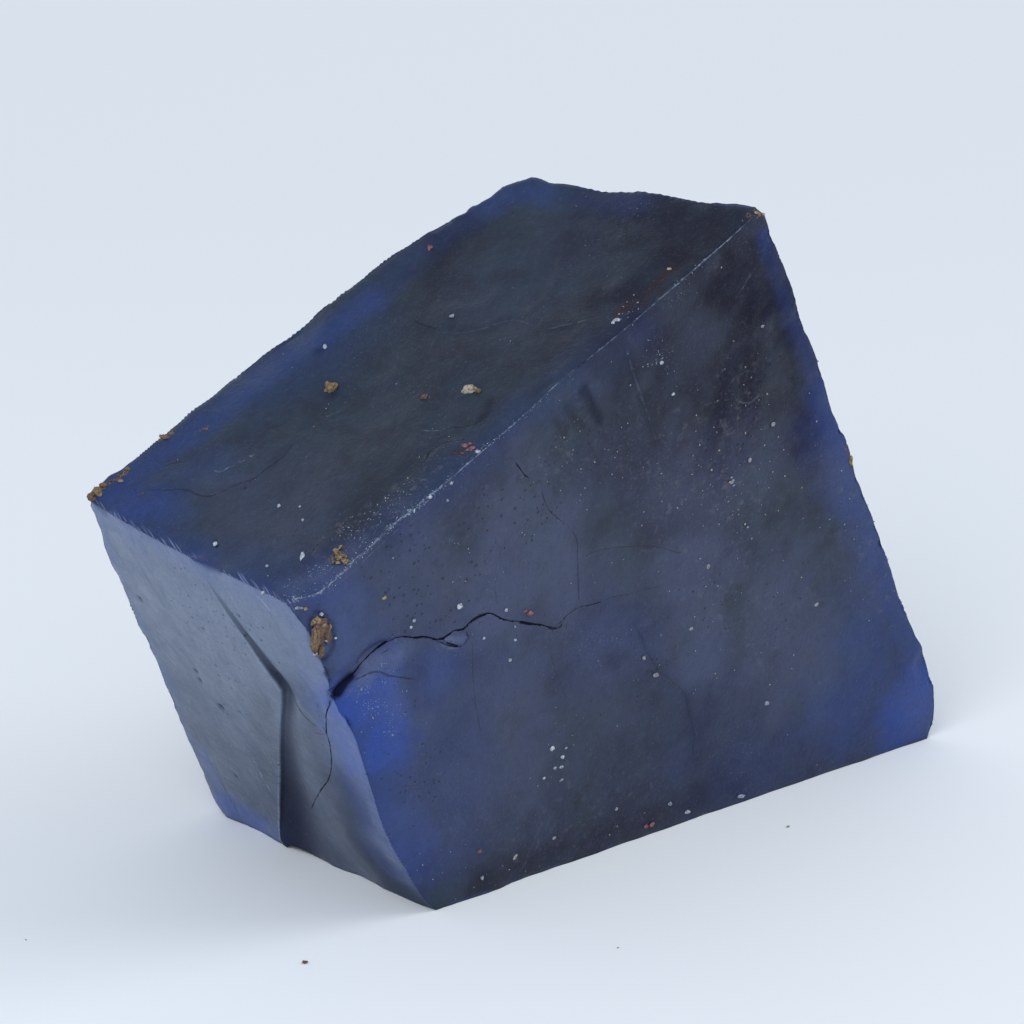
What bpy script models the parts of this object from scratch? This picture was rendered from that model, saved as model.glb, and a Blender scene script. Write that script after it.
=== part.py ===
"""A piece of rough tanzanite: one sawn and broken block of stone about 49 mm long, standing on a flat sawn base.

The block is a leaning box with eight corners. Four stand on the ground (the feet) and four above them (the crowns).
The near end is low and overhangs, the far end is tall, and the top climbs from one to the other. Sizes are in
millimetres and become metres when the mesh is made. The origin is on the ground under the middle of the stone, and
the long front side looks along -Y.
"""

import math

import bmesh
import bpy
from mathutils import Vector, noise
from mathutils.bvhtree import BVHTree

MM = 0.001

# Corners, measured from the front foot of the near end. X runs along the front, Y to the back and Z up.
FOOT_FRONT = Vector((0.0, 0.0, 0.0))
FOOT_FAR = Vector((37.0, 0.0, 0.0))
FOOT_BACK_FAR = Vector((32.0, 15.3, 0.0))
FOOT_BACK = Vector((-1.9, 17.5, 0.0))
CROWN_FRONT = Vector((-10.3, -1.6, 21.5))
CROWN_FAR = Vector((20.8, -2.7, 37.6))
CROWN_BACK_FAR = Vector((15.0, 11.4, 36.7))
CROWN_BACK = Vector((-12.3, 15.2, 22.8))

# The near end has a proud plate towards the back and a recess towards the front, with a step between them. The
# plate's rim leaves the top edge, turns at a knee and runs down to the ground. The step's foot lies beside the rim.
RIM_CROWN = Vector((-11.5, 6.1, 22.0))
RIM_BEND = Vector((-10.3, 4.6, 18.8))
RIM_KNEE = Vector((-8.36, 2.8, 14.75))
RIM_WAIST = Vector((-4.9, 7.9, 7.0))
RIM_GROUND = Vector((-1.75, 11.2, 0.0))
STEP_CROWN = Vector((0.06, -0.16, 0.0))
STEP_BEND = Vector((0.14, -0.3, 0.0))
STEP_KNEE = Vector((0.3, -0.45, 0.0))
STEP_WAIST = Vector((0.7, -0.6, 0.05))
STEP_GROUND = Vector((0.85, -0.95, 0.0))
RECESS_RIDGE = Vector((-6.5, 1.35, 12.1))  # where the ridge across the recess turns up to the notch
NOTCH_SHARE = 0.267  # how far down the near front edge the notch of the main crack lies
PLATE_SHARE = 0.42  # how far down the near back edge the plate's middle row of points ends

# The grid of each side, in cells, and how much closer the cells lie to the edges than in the middle.
CELLS_LONG = 36
CELLS_PLATE = 12
CELLS_STEP = 1
CELLS_RECESS = 10
CELLS_NOTCH = 2  # the cells of the recess that lie between its ridge and the notch
ROWS_UPPER = 9
ROWS_LOWER = 15
CROWDING = 0.5
CORNER_DIGITS = 3  # points of two sides that agree to this many digits are one point
GROUND_SLACK = 1e-4  # points lower than this lie on the ground and stay there
CUT_SLACK = 1e-5  # points this close to a chip's plane lie on it

# How far each edge bows out of the straight line between its corners: (share of the length, bow).
BOW_TOP_FRONT = ((0, 0), (0.1, 0.1), (0.22, 0.23), (0.32, 0.05), (0.55, 0.3), (0.69, -0.07), (0.88, 0), (1, 0))
BOW_TOP_BACK = ((0, 0), (0.11, 0.3), (0.27, 0.65), (0.4, 1.3), (0.63, 1.24), (0.75, 1.28), (0.85, 0.67), (1, 0))
BOW_TOP_FAR = ((0, 0), (0.1, 0.1), (0.24, -0.06), (0.54, 0.2), (0.75, 0.16), (1, 0))
BOW_TOP_PLATE = ((0, 0), (0.3, 0.2), (0.6, 0.05), (1, 0))
BOW_TOP_RECESS = ((0, 0), (0.25, 0.05), (0.6, 0.1), (0.85, 0.05), (1, 0))
BOW_NEAR_FRONT = (
    (0, 0), (0.09, 0.08), (0.2, 0.1), (NOTCH_SHARE, 0.58), (0.39, 0.1), (0.52, 0.4), (0.73, 0.8), (0.98, 0.2), (1, 0),
)
BOW_NEAR_BACK = (
    (0, 0), (0.215, 0.19), (0.345, 0.31), (0.44, -0.1), (0.54, 0.19), (0.68, 0.36), (0.8, 0.4), (0.96, 0.5), (1, 0),
)
BOW_FAR_FRONT = (
    (0, 0), (0.025, -0.06), (0.146, 0.17), (0.223, -0.12), (0.325, 0.42), (0.397, 0.23), (0.444, 0.76),
    (0.495, 0.46), (0.625, 0.7), (0.75, 0.63), (0.82, 0.9), (0.85, 1.5), (0.9, 1.48), (0.95, 0.8), (1, 0),
)
BOW_FAR_BACK = ((0, 0), (0.2, 0.5), (0.45, 0.1), (0.7, 0.6), (0.9, 0.3), (1, 0))
BOW_BASE_FRONT = ((0, 0), (0.12, 0.15), (0.25, 0), (0.55, -0.2), (1, 0))
BOW_BASE_RECESS = ((0, 0), (0.25, 0.05), (0.6, 0.33), (0.85, 0.22), (1, 0))
BOW_BASE_PLATE = ((0, 0), (0.5, 0.1), (1, 0))
BOW_BASE_BACK = ((0, 0), (0.2, 0.4), (0.5, -0.3), (0.7, 0.3), (1, 0))
BOW_BASE_FAR = ((0, 0), (0.3, -0.4), (0.6, 0.3), (1, 0))

# Waves of the broken surface: (wavelength, height).
WAVES = ((9.0, 0.22), (3.1, 0.06))
NOISE_SEED = 5

# Shallow hollows worn into the top: (centre, radius, depth).
HOLLOWS = (
    (Vector((0.5, 8.0, 28.4)), 6.5, 0.45),
    (Vector((12.0, 4.0, 33.5)), 5.0, 0.3),
    (Vector((8.5, 11.5, 33.2)), 4.5, 0.3),
    (Vector((16.5, 5.5, 36.0)), 3.5, 0.25),
    (Vector((-6.0, 5.5, 24.5)), 4.0, 0.25),
)

# Corners broken off: (corner, which way the break faces, how deep it lies under the corner).
CHIPS = (
    (CROWN_FRONT, Vector((-0.64, -0.75, 0.17)), 0.7),
    (CROWN_BACK, Vector((-0.75, 0.5, 0.43)), 0.2),
    (CROWN_BACK_FAR, Vector((0.2, 0.65, 0.73)), 0.35),
    (CROWN_FAR, Vector((0.3, -0.5, 0.81)), 0.3),
    (FOOT_FAR, Vector((0.75, -0.5, -0.43)), 0.35),
    (FOOT_BACK, Vector((-0.5, 0.65, -0.57)), 0.6),
    (FOOT_BACK_FAR, Vector((0.55, 0.8, -0.24)), 0.8),
)

# Thin slabs split off the hidden sides, which leave ledges: (place, which way the slab faced, depth there, outline
# as steps to the right and up from the place, seen from outside). A slab that faced a little to one side runs out
# to nothing on the other.
SPALLS = (
    (
        Vector((-3.0, 15.5, 19.5)), Vector((0.02, 0.99, 0.09)), 0.3,
        ((5.5, -1), (3, -6), (-3, -9), (-12, -5), (-14, 6), (-4, 6), (4, 1.5)),
    ),
    (
        Vector((21.0, 15.2, 3.5)), Vector((0.07, 0.99, 0.13)), 0.6,
        ((-14, -2), (-8, 3.5), (-1, 5), (6, 2), (10, -6), (-10, -6)),
    ),
    (
        Vector((13.5, 13.0, 26.5)), Vector((0.12, 0.99, 0.13)), 0.35,
        ((-14, -9), (-1, -7), (4, -1), (3, 3.5), (-2, 5), (-14, 3)),
    ),
    (
        Vector((23.5, 4.5, 24.0)), Vector((0.8, 0.44, 0.42)), 0.2,
        ((-4.5, -7), (3, -8), (12, -5), (12, 6), (4, 8), (-4.5, 4)),
    ),
    (
        Vector((31.0, 8.5, 7.0)), Vector((0.83, 0.39, 0.42)), 0.45,
        ((-3.5, -4), (1, -7), (9, -8), (9, 1), (4, 4), (-2, 3)),
    ),
)
SPALL_FLARE = 1.12  # how much wider a spall is above the surface than at its bottom
SPALL_LIFT = 3.0

# Open cracks, as a path along the surface: (x, z on the front, or y, z on the near end; width; depth).
MAIN_CRACK = (
    (-8.8, 14.9, 0.9, 1.5), (-7.8, 15.7, 0.8, 1.4), (-6.8, 16.4, 0.5, 1.0), (-5.3, 17.35, 0.34, 0.8),
    (-3.4, 17.8, 0.3, 0.7), (-1.1, 17.25, 0.26, 0.6), (0.9, 16.2, 0.1, 0.15),
)
UPPER_CRACK = (
    (-1.2, 17.55, 0.06, 0.1), (0.4, 17.4, 0.2, 0.4), (2.2, 17.5, 0.3, 0.6), (4.0, 17.1, 0.26, 0.5),
    (6.1, 16.15, 0.26, 0.5), (8.0, 15.5, 0.2, 0.4), (10.5, 16.0, 0.16, 0.3), (14.4, 16.0, 0.06, 0.1),
)
RECESS_CRACK = (
    (-1.0, 15.2, 0.3, 0.35), (-0.2, 14.1, 0.26, 0.5), (0.8, 12.4, 0.24, 0.45), (2.3, 9.9, 0.22, 0.4),
    (3.9, 7.8, 0.2, 0.35), (6.1, 5.7, 0.16, 0.3), (7.8, 4.0, 0.05, 0.1),
)
CRACK_LIFT = 0.5  # how far a crack's cutter stands out of the surface
CRACK_SEARCH = 1.5  # how far from a side's plane its surface is looked for

STONE_COLOUR = (0.035, 0.045, 0.11, 1.0)
STONE_ROUGHNESS = 0.4
STONE_IOR = 1.69


def spread(count):
    """Shares from 0 to 1 for count cells, closer together at both ends."""
    steps = [i / count for i in range(count + 1)]
    return [s - CROWDING * math.sin(2 * math.pi * s) / (2 * math.pi) for s in steps]


def even(count, first=0.0, last=1.0):
    """Shares from first to last for count even cells."""
    return [first + (last - first) * i / count for i in range(count + 1)]


def bow_at(bow, share):
    """The bow at a share of an edge's length."""
    for (s0, b0), (s1, b1) in zip(bow, bow[1:]):
        if share <= s1:
            return b0 + (b1 - b0) * (share - s0) / (s1 - s0)
    return bow[-1][1]


def edge(start, end, shares, bow, inside):
    """Points along an edge that bows away from a point inside the side it belongs to."""
    along = (end - start).normalized()
    out = (start + end) / 2 - inside
    out = (out - along * out.dot(along)).normalized()
    return [start.lerp(end, s) + out * bow_at(bow, s) for s in shares]


def through(points, counts):
    """Points along straight runs through the given points, with a number of cells in each run."""
    line = [points[0]]
    for a, b, count in zip(points, points[1:], counts):
        line += [a.lerp(b, i / count) for i in range(1, count + 1)]
    return line


def patch(top, bottom, left, right):
    """Rows of points that fill the space between four edges (a Coons patch)."""
    wide = len(top) - 1
    high = len(left) - 1
    rows = []
    for j in range(high + 1):
        v = j / high
        row = []
        for i in range(wide + 1):
            u = i / wide
            across = top[i] * (1 - v) + bottom[i] * v
            down = left[j] * (1 - u) + right[j] * u
            corners = (top[0] * (1 - u) + top[-1] * u) * (1 - v) + (bottom[0] * (1 - u) + bottom[-1] * u) * v
            row.append(across + down - corners)
        rows.append(row)
    return rows


def near_end_lines():
    """The lines that the near end hangs on: its columns from the top edge to the ground, back to front."""
    down = even(ROWS_UPPER, 0.0, PLATE_SHARE) + even(ROWS_LOWER, PLATE_SHARE, 1.0)[1:]
    back = edge(CROWN_BACK, FOOT_BACK, down, BOW_NEAR_BACK, FOOT_FRONT)
    down = even(ROWS_UPPER, 0.0, NOTCH_SHARE) + even(ROWS_LOWER, NOTCH_SHARE, 1.0)[1:]
    front = edge(CROWN_FRONT, FOOT_FRONT, down, BOW_NEAR_FRONT, CROWN_FAR)
    bends = (RIM_CROWN, RIM_BEND, RIM_KNEE, RIM_WAIST, RIM_GROUND)
    steps = (STEP_CROWN, STEP_BEND, STEP_KNEE, STEP_WAIST, STEP_GROUND)
    half_upper = ROWS_UPPER // 2
    half_lower = ROWS_LOWER // 2
    counts = (half_upper, ROWS_UPPER - half_upper, half_lower, ROWS_LOWER - half_lower)
    rim = through(bends, counts)
    foot = through([b + s for b, s in zip(bends, steps)], counts)
    return back, rim, foot, front


def near_end_rows():
    """The near end's three strips, each in an upper and a lower patch that meet at the knee."""
    back, rim, foot, front = near_end_lines()
    knee = ROWS_UPPER
    tops = (
        edge(back[0], rim[0], even(CELLS_PLATE), BOW_TOP_PLATE, FOOT_FRONT),
        through((rim[0], foot[0]), (CELLS_STEP,)),
        edge(foot[0], front[0], even(CELLS_RECESS), BOW_TOP_RECESS, FOOT_FRONT),
    )
    knees = (
        through((back[knee], rim[knee]), (CELLS_PLATE,)),
        through((rim[knee], foot[knee]), (CELLS_STEP,)),
        through((foot[knee], RECESS_RIDGE, front[knee]), (CELLS_RECESS - CELLS_NOTCH, CELLS_NOTCH)),
    )
    grounds = (
        edge(back[-1], rim[-1], even(CELLS_PLATE), BOW_BASE_PLATE, FOOT_BACK_FAR),
        through((rim[-1], foot[-1]), (CELLS_STEP,)),
        edge(foot[-1], front[-1], even(CELLS_RECESS), BOW_BASE_RECESS, FOOT_BACK_FAR),
    )
    rows = [[] for _ in back]
    for top, middle, ground, left, right in zip(tops, knees, grounds, (back, rim, foot), (rim, foot, front)):
        upper = patch(top, middle, left[: knee + 1], right[: knee + 1])
        lower = patch(middle, ground, left[knee:], right[knee:])
        for row, points in zip(rows, upper + lower[1:]):
            row += points if not row else points[1:]
    return rows


def sides():
    """The five sides above the ground, each as rows of points that share their edges."""
    near = near_end_rows()
    rows_down = spread(ROWS_UPPER + ROWS_LOWER)
    long_way = spread(CELLS_LONG)
    short_way = spread(CELLS_PLATE + CELLS_STEP + CELLS_RECESS)
    near_front = [row[-1] for row in near]
    near_back = [row[0] for row in near]
    top_near = list(reversed(near[0]))
    top_front = edge(CROWN_FRONT, CROWN_FAR, long_way, BOW_TOP_FRONT, FOOT_FAR)
    top_back = edge(CROWN_BACK, CROWN_BACK_FAR, long_way, BOW_TOP_BACK, CROWN_FRONT)
    top_far = edge(CROWN_FAR, CROWN_BACK_FAR, short_way, BOW_TOP_FAR, CROWN_FRONT)
    far_front = edge(CROWN_FAR, FOOT_FAR, rows_down, BOW_FAR_FRONT, FOOT_FRONT)
    far_back = edge(CROWN_BACK_FAR, FOOT_BACK_FAR, rows_down, BOW_FAR_BACK, FOOT_BACK)
    base_front = edge(FOOT_FRONT, FOOT_FAR, long_way, BOW_BASE_FRONT, FOOT_BACK_FAR)
    base_back = edge(FOOT_BACK, FOOT_BACK_FAR, long_way, BOW_BASE_BACK, FOOT_FRONT)
    base_far = edge(FOOT_FAR, FOOT_BACK_FAR, short_way, BOW_BASE_FAR, FOOT_FRONT)
    front = patch(top_front, base_front, near_front, far_front)
    far = patch(top_far, base_far, far_front, far_back)
    back = patch(top_back, base_back, near_back, far_back)
    top = patch(top_front, top_back, top_near, top_far)
    return near, front, far, back, top


def weathered(point):
    """A point of the stone moved by the waves of its broken surface and by the hollows on top."""
    shift = Vector()
    for length, height in WAVES:
        shift += noise.noise_vector(point / length) * height
    for centre, radius, depth in HOLLOWS:
        nearness = 1 - (point - centre).length_squared / radius**2
        if nearness > 0:
            shift.z -= depth * nearness**2
    if point.z < GROUND_SLACK:
        shift.z = 0.0
    return point + shift


def weld_grid(mesh, rows, corners):
    """Adds the cells of a side to the mesh. corners holds the points that the sides share."""
    grid = []
    for row in rows:
        line = []
        for point in row:
            key = tuple(round(c, CORNER_DIGITS) for c in point)
            if key not in corners:
                corners[key] = mesh.verts.new(weathered(point))
            line.append(corners[key])
        grid.append(line)
    for above, below in zip(grid, grid[1:]):
        for a, b, c, d in zip(above, above[1:], below[1:], below):
            mesh.faces.new((a, b, c, d))


def chip(mesh, corner, facing, depth):
    """Breaks off a corner at a plane and closes the stone with a flat face."""
    cut = bmesh.ops.bisect_plane(
        mesh,
        geom=mesh.verts[:] + mesh.edges[:] + mesh.faces[:],
        dist=CUT_SLACK,
        plane_co=corner - facing.normalized() * depth,
        plane_no=facing.normalized(),
        clear_outer=True,
    )
    rim = [e for e in cut["geom_cut"] if isinstance(e, bmesh.types.BMEdge)]
    bmesh.ops.contextual_create(mesh, geom=rim)


def stone_mesh():
    """The whole block before its cracks and spalls, in millimetres."""
    mesh = bmesh.new()
    corners = {}
    for rows in sides():
        weld_grid(mesh, rows, corners)
    bmesh.ops.triangulate(mesh, faces=mesh.faces[:])
    rim = [e for e in mesh.edges if e.is_boundary]
    bmesh.ops.contextual_create(mesh, geom=rim)
    bmesh.ops.recalc_face_normals(mesh, faces=mesh.faces[:])
    for corner, facing, depth in CHIPS:
        chip(mesh, corner, facing, depth)
    bmesh.ops.recalc_face_normals(mesh, faces=mesh.faces[:])
    return mesh


def middle_of(mesh):
    """The middle of the block's box, on the ground."""
    xs = [v.co.x for v in mesh.verts]
    ys = [v.co.y for v in mesh.verts]
    return Vector(((min(xs) + max(xs)) / 2, (min(ys) + max(ys)) / 2, 0.0))


def to_object(mesh, name, middle):
    """Puts a mesh in millimetres into the scene, in metres and about the stone's middle."""
    bmesh.ops.translate(mesh, verts=mesh.verts[:], vec=-middle)
    bmesh.ops.scale(mesh, verts=mesh.verts[:], vec=(MM, MM, MM))
    data = bpy.data.meshes.new(name)
    mesh.to_mesh(data)
    mesh.free()
    thing = bpy.data.objects.new(name, data)
    bpy.context.scene.collection.objects.link(thing)
    return thing


def crack_cutter(surface, path, to_point, facing):
    """A wedge that opens a crack along a path on the surface."""
    on_surface = []
    for along, up, width, depth in path:
        place = surface.ray_cast(to_point(along, up) + facing * CRACK_SEARCH, -facing, 2 * CRACK_SEARCH)[0]
        place = place or to_point(along, up)
        on_surface.append((place, width, depth))
    mesh = bmesh.new()
    rings = []
    for i, (place, width, depth) in enumerate(on_surface):
        before = on_surface[max(i - 1, 0)][0]
        after = on_surface[min(i + 1, len(on_surface) - 1)][0]
        side = (after - before).cross(facing).normalized()
        reach = width / 2 * (1 + CRACK_LIFT / depth)
        ring = (
            place + facing * CRACK_LIFT + side * reach,
            place + facing * CRACK_LIFT - side * reach,
            place - facing * depth,
        )
        rings.append([mesh.verts.new(p) for p in ring])
    for ring, following in zip(rings, rings[1:]):
        for i in range(3):
            j = (i + 1) % 3
            mesh.faces.new((ring[i], ring[j], following[j]))
            mesh.faces.new((ring[i], following[j], following[i]))
    mesh.faces.new(rings[0])
    mesh.faces.new(rings[-1])
    bmesh.ops.recalc_face_normals(mesh, faces=mesh.faces[:])
    return mesh


def spall_cutter(surface, place, facing, depth, outline):
    """A slab with sloping sides that cuts a ledge."""
    right = Vector((-facing.y, facing.x, 0.0)).normalized()
    up = facing.cross(right)
    place = surface.find_nearest(place)[0]
    mesh = bmesh.new()
    for x, y in outline:
        foot = right * x + up * y
        mesh.verts.new(place + foot - facing * depth)
        mesh.verts.new(place + foot * SPALL_FLARE + facing * SPALL_LIFT)
    bmesh.ops.convex_hull(mesh, input=mesh.verts[:])
    return mesh


def facing_out(along, up):
    """Which way a side faces that holds the front foot and runs in two given directions."""
    facing = along.cross(up).normalized()
    core = (FOOT_FRONT + CROWN_BACK_FAR) / 2
    return facing if facing.dot(FOOT_FRONT - core) > 0 else -facing


def cut(stone, cutter):
    """Subtracts a cutter from the stone and hides the cutter."""
    boolean = stone.modifiers.new(cutter.name, "BOOLEAN")
    boolean.operation = "DIFFERENCE"
    boolean.solver = "EXACT"
    boolean.object = cutter
    cutter.hide_render = True
    cutter.display_type = "WIRE"


def stone_material():
    """A plain deep blue."""
    material = bpy.data.materials.new("tanzanite")
    material.use_nodes = True
    shader = material.node_tree.nodes["Principled BSDF"]
    shader.inputs["Base Color"].default_value = STONE_COLOUR
    shader.inputs["Roughness"].default_value = STONE_ROUGHNESS
    shader.inputs["Metallic"].default_value = 0.0
    shader.inputs["IOR"].default_value = STONE_IOR
    return material


def on_front(x, z):
    """A point of the front's plane."""
    return Vector((x, CROWN_FRONT.y * z / CROWN_FRONT.z, z))


def on_near_end(y, z):
    """A point of the near end's plane."""
    return Vector((CROWN_FRONT.x * z / CROWN_FRONT.z, y, z))


def main():
    for thing in list(bpy.data.objects):
        bpy.data.objects.remove(thing, do_unlink=True)

    noise.seed_set(NOISE_SEED)
    mesh = stone_mesh()
    middle = middle_of(mesh)
    surface = BVHTree.FromBMesh(mesh)
    front = facing_out(FOOT_FAR - FOOT_FRONT, CROWN_FRONT - FOOT_FRONT)
    near = facing_out(FOOT_BACK - FOOT_FRONT, CROWN_FRONT - FOOT_FRONT)
    stone = to_object(mesh, "tanzanite", middle)
    stone.data.materials.append(stone_material())

    cracks = (
        ("main_crack", MAIN_CRACK, on_front, front),
        ("upper_crack", UPPER_CRACK, on_front, front),
        ("recess_crack", RECESS_CRACK, on_near_end, near),
    )
    for name, path, to_point, facing in cracks:
        cut(stone, to_object(crack_cutter(surface, path, to_point, facing), name, middle))
    for number, (place, facing, depth, outline) in enumerate(SPALLS, 1):
        slab = spall_cutter(surface, place, facing.normalized(), depth, outline)
        cut(stone, to_object(slab, f"spall_{number}", middle))


main()
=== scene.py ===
"""The looks of a piece of rough tanzanite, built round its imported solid.

The stone's skin is a copy of the solid, cut finer, worn smooth and then broken up by relief, nicks, pits and
cracks. Places on the stone are given in pixels of a 1024 x 1024 picture and are found by looking at the solid
from the camera, or in millimetres measured from the stone's front foot.
"""

import math

import bmesh
import bpy
import numpy as np
from mathutils import Matrix, Vector
from mathutils.bvhtree import BVHTree
from mathutils.kdtree import KDTree


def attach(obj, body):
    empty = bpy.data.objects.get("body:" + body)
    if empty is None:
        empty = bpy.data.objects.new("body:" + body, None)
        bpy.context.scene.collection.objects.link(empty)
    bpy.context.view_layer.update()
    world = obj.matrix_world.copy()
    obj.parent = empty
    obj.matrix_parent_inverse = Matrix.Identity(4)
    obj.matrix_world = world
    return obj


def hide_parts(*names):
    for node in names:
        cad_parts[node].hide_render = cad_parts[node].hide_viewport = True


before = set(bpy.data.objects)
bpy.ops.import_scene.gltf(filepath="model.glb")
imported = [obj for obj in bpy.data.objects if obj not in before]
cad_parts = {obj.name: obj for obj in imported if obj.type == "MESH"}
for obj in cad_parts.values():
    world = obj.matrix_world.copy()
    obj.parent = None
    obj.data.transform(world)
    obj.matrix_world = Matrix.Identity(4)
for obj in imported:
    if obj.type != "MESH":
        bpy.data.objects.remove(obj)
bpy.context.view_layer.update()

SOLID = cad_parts["tanzanite"]
MM = 0.001
FRONT_FOOT = np.array((-12.3627, -7.6418, 0.0))  # where the front foot stands in the row's frame, in mm

# The camera, in mm from the front foot.
CAMERA_AT = np.array((-218.31596, -285.69853, 176.70557))
CAMERA_RIGHT = np.array((0.78723315, -0.61665547, 0.0))
CAMERA_UP = np.array((0.24094649, 0.3075965, 0.92050485))
CAMERA_BACK = np.array((-0.56763435, -0.72465194, 0.39073113))
PICTURE = 1024
FOCAL_PX = 400 / 0.056
SENSOR_MM = 36.0

# Which way each side of the block faces.
SIDES = {
    "top": (-0.461, -0.13, 0.878),
    "front": (0.0, -0.997, -0.074),
    "near": (-0.9, -0.05, -0.43),
    "far": (0.828, 0.37, 0.423),
    "back": (0.066, 0.989, 0.134),
    "base": (0.0, 0.0, -1.0),
}
SIDE_NAMES = list(SIDES)

# How long the skin's edges may be, in mm: on each side, and close to what is fine.
CELL = {"top": 0.385, "front": 0.385, "near": 0.385, "far": 0.6, "back": 0.6, "base": 1.8}
SIDE_CELLS = np.array([CELL[name] for name in SIDE_NAMES])
FINE_CELL = 0.18
FINE_REACH = (0.15, 0.6)
GROOVE_CELL = 0.09
GROOVE_REACH = (0.15, 0.45)
SPLIT_ROUNDS = 9

SHARP_DEGREES = 27.0
SMOOTH_ROUNDS = 36
SMOOTH_EDGE_ROUNDS = 3
FILL_ROUNDS = 500
NEAREST_ROUNDS = 40
GROUND = 1e-3  # what is lower than this stands on the ground, in mm
LEAST_HEIGHT = 0.005  # how low the rest may come


def picture_ray(px, py):
    """The direction in which the camera sees a pixel of the picture."""
    half = PICTURE / 2
    ray = -CAMERA_BACK + CAMERA_RIGHT * ((px - half) / FOCAL_PX) - CAMERA_UP * ((py - half) / FOCAL_PX)
    return ray / np.linalg.norm(ray)


def welded(mesh):
    """The corners and triangles of a mesh in stone millimetres, with doubled corners joined."""
    mesh.calc_loop_triangles()
    points = np.zeros(len(mesh.vertices) * 3)
    mesh.vertices.foreach_get("co", points)
    tris = np.zeros(len(mesh.loop_triangles) * 3, np.int64)
    mesh.loop_triangles.foreach_get("vertices", tris)
    points = np.round(points.reshape(-1, 3) / MM, 4)
    points, where = np.unique(points, axis=0, return_inverse=True)
    tris = where.ravel()[tris].reshape(-1, 3)
    whole = (tris[:, 0] != tris[:, 1]) & (tris[:, 1] != tris[:, 2]) & (tris[:, 2] != tris[:, 0])
    return points - FRONT_FOOT, tris[whole]


def unit(vectors):
    """Vectors of length one."""
    return vectors / np.maximum(np.linalg.norm(vectors, axis=-1, keepdims=True), 1e-12)


def face_normals(points, tris):
    """Each triangle's normal, as long as twice its area."""
    a, b, c = points[tris[:, 0]], points[tris[:, 1]], points[tris[:, 2]]
    return np.cross(b - a, c - a)


def point_normals(points, tris):
    """Each point's normal, from the triangles round it."""
    normals = np.zeros_like(points)
    faces = face_normals(points, tris)
    for corner in range(3):
        for axis in range(3):
            normals[:, axis] += np.bincount(tris[:, corner], faces[:, axis], len(points))
    return unit(normals)


def edge_table(tris):
    """The mesh's edges, and for each triangle the numbers of its three edges."""
    pairs = np.concatenate((tris[:, (0, 1)], tris[:, (1, 2)], tris[:, (2, 0)]))
    pairs.sort(axis=1)
    span = tris.max() + 1
    keys, where = np.unique(pairs[:, 0] * span + pairs[:, 1], return_inverse=True)
    return np.stack((keys // span, keys % span), 1), where.reshape(3, -1).T


def split(points, tris, labels, longest):
    """Cuts every edge that is longer than its two ends allow."""
    edges, of_tri = edge_table(tris)
    length = np.linalg.norm(points[edges[:, 0]] - points[edges[:, 1]], axis=1)
    cut = length > longest[edges].mean(1)
    if not cut.any():
        return points, tris, labels, False
    middle = np.full(len(edges), -1)
    middle[cut] = len(points) + np.arange(cut.sum())
    points = np.concatenate((points, points[edges[cut]].mean(1)))
    marks = cut[of_tri]
    count = marks.sum(1)
    done, kept = [tris[count == 0]], [labels[count == 0]]
    for turn in range(3):
        order = np.roll(np.arange(3), -turn)
        a, b, c = (tris[:, order[i]] for i in range(3))
        ab, bc, ca = (middle[of_tri[:, order[i]]] for i in range(3))
        first, second = (marks[:, order[i]] for i in range(2))
        pick = (count == 1) & first
        for made in ((a, ab, c), (ab, b, c)):
            done.append(np.stack(made, 1)[pick])
            kept.append(labels[pick])
        pick = (count == 2) & first & second
        far = np.linalg.norm(points[a] - points[np.maximum(bc, 0)], axis=1)
        near = np.linalg.norm(points[c] - points[np.maximum(ab, 0)], axis=1)
        for choice, parts in ((far <= near, ((a, ab, bc), (ab, b, bc), (a, bc, c))),
                              (far > near, ((a, ab, c), (ab, b, bc), (ab, bc, c)))):
            for made in parts:
                done.append(np.stack(made, 1)[pick & choice])
                kept.append(labels[pick & choice])
        if turn == 0:
            pick = count == 3
            for made in ((a, ab, ca), (ab, b, bc), (ca, bc, c), (ab, bc, ca)):
                done.append(np.stack(made, 1)[pick])
                kept.append(labels[pick])
    return points, np.concatenate(done), np.concatenate(kept), True


def tree_of(points):
    """A search tree of points."""
    tree = KDTree(len(points))
    for i, p in enumerate(points):
        tree.insert(p, i)
    tree.balance()
    return tree


def distance_to(tree, points):
    """How far each point is from the nearest one of a tree."""
    return np.array([tree.find(p)[2] for p in points])


def averaged(values, edges, total):
    """Each point's mean over its neighbours."""
    out = np.zeros_like(values)
    for axis in range(values.shape[1]):
        out[:, axis] = np.bincount(edges[:, 0], values[edges[:, 1], axis], len(values))
        out[:, axis] += np.bincount(edges[:, 1], values[edges[:, 0], axis], len(values))
    return out / np.maximum(total, 1)[:, None]


def lattice(x, y, z, seed):
    """A number from -1 to 1 for each corner of a lattice."""
    h = (x * 374761393 + y * 668265263 + z * 1442695041 + seed * 974634777) & 0xFFFFFFFF
    h = ((h ^ (h >> 13)) * 1274126177) & 0xFFFFFFFF
    h = ((h ^ (h >> 15)) * 2246822519) & 0xFFFFFFFF
    return ((h ^ (h >> 16)) & 0xFFFF) / 32767.5 - 1


def noise(points, size, seed):
    """Smooth noise from -1 to 1 with a given grain size in mm."""
    q = np.asarray(points) / size + 512.37
    low = np.floor(q).astype(np.int64)
    f = q - low
    f = f * f * f * (f * (f * 6 - 15) + 10)
    x, y, z = low.T
    total = 0
    for dx in (0, 1):
        for dy in (0, 1):
            for dz in (0, 1):
                share = np.abs(1 - dx - f[:, 0]) * np.abs(1 - dy - f[:, 1]) * np.abs(1 - dz - f[:, 2])
                total = total + share * lattice(x + dx, y + dy, z + dz, seed)
    return total


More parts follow.
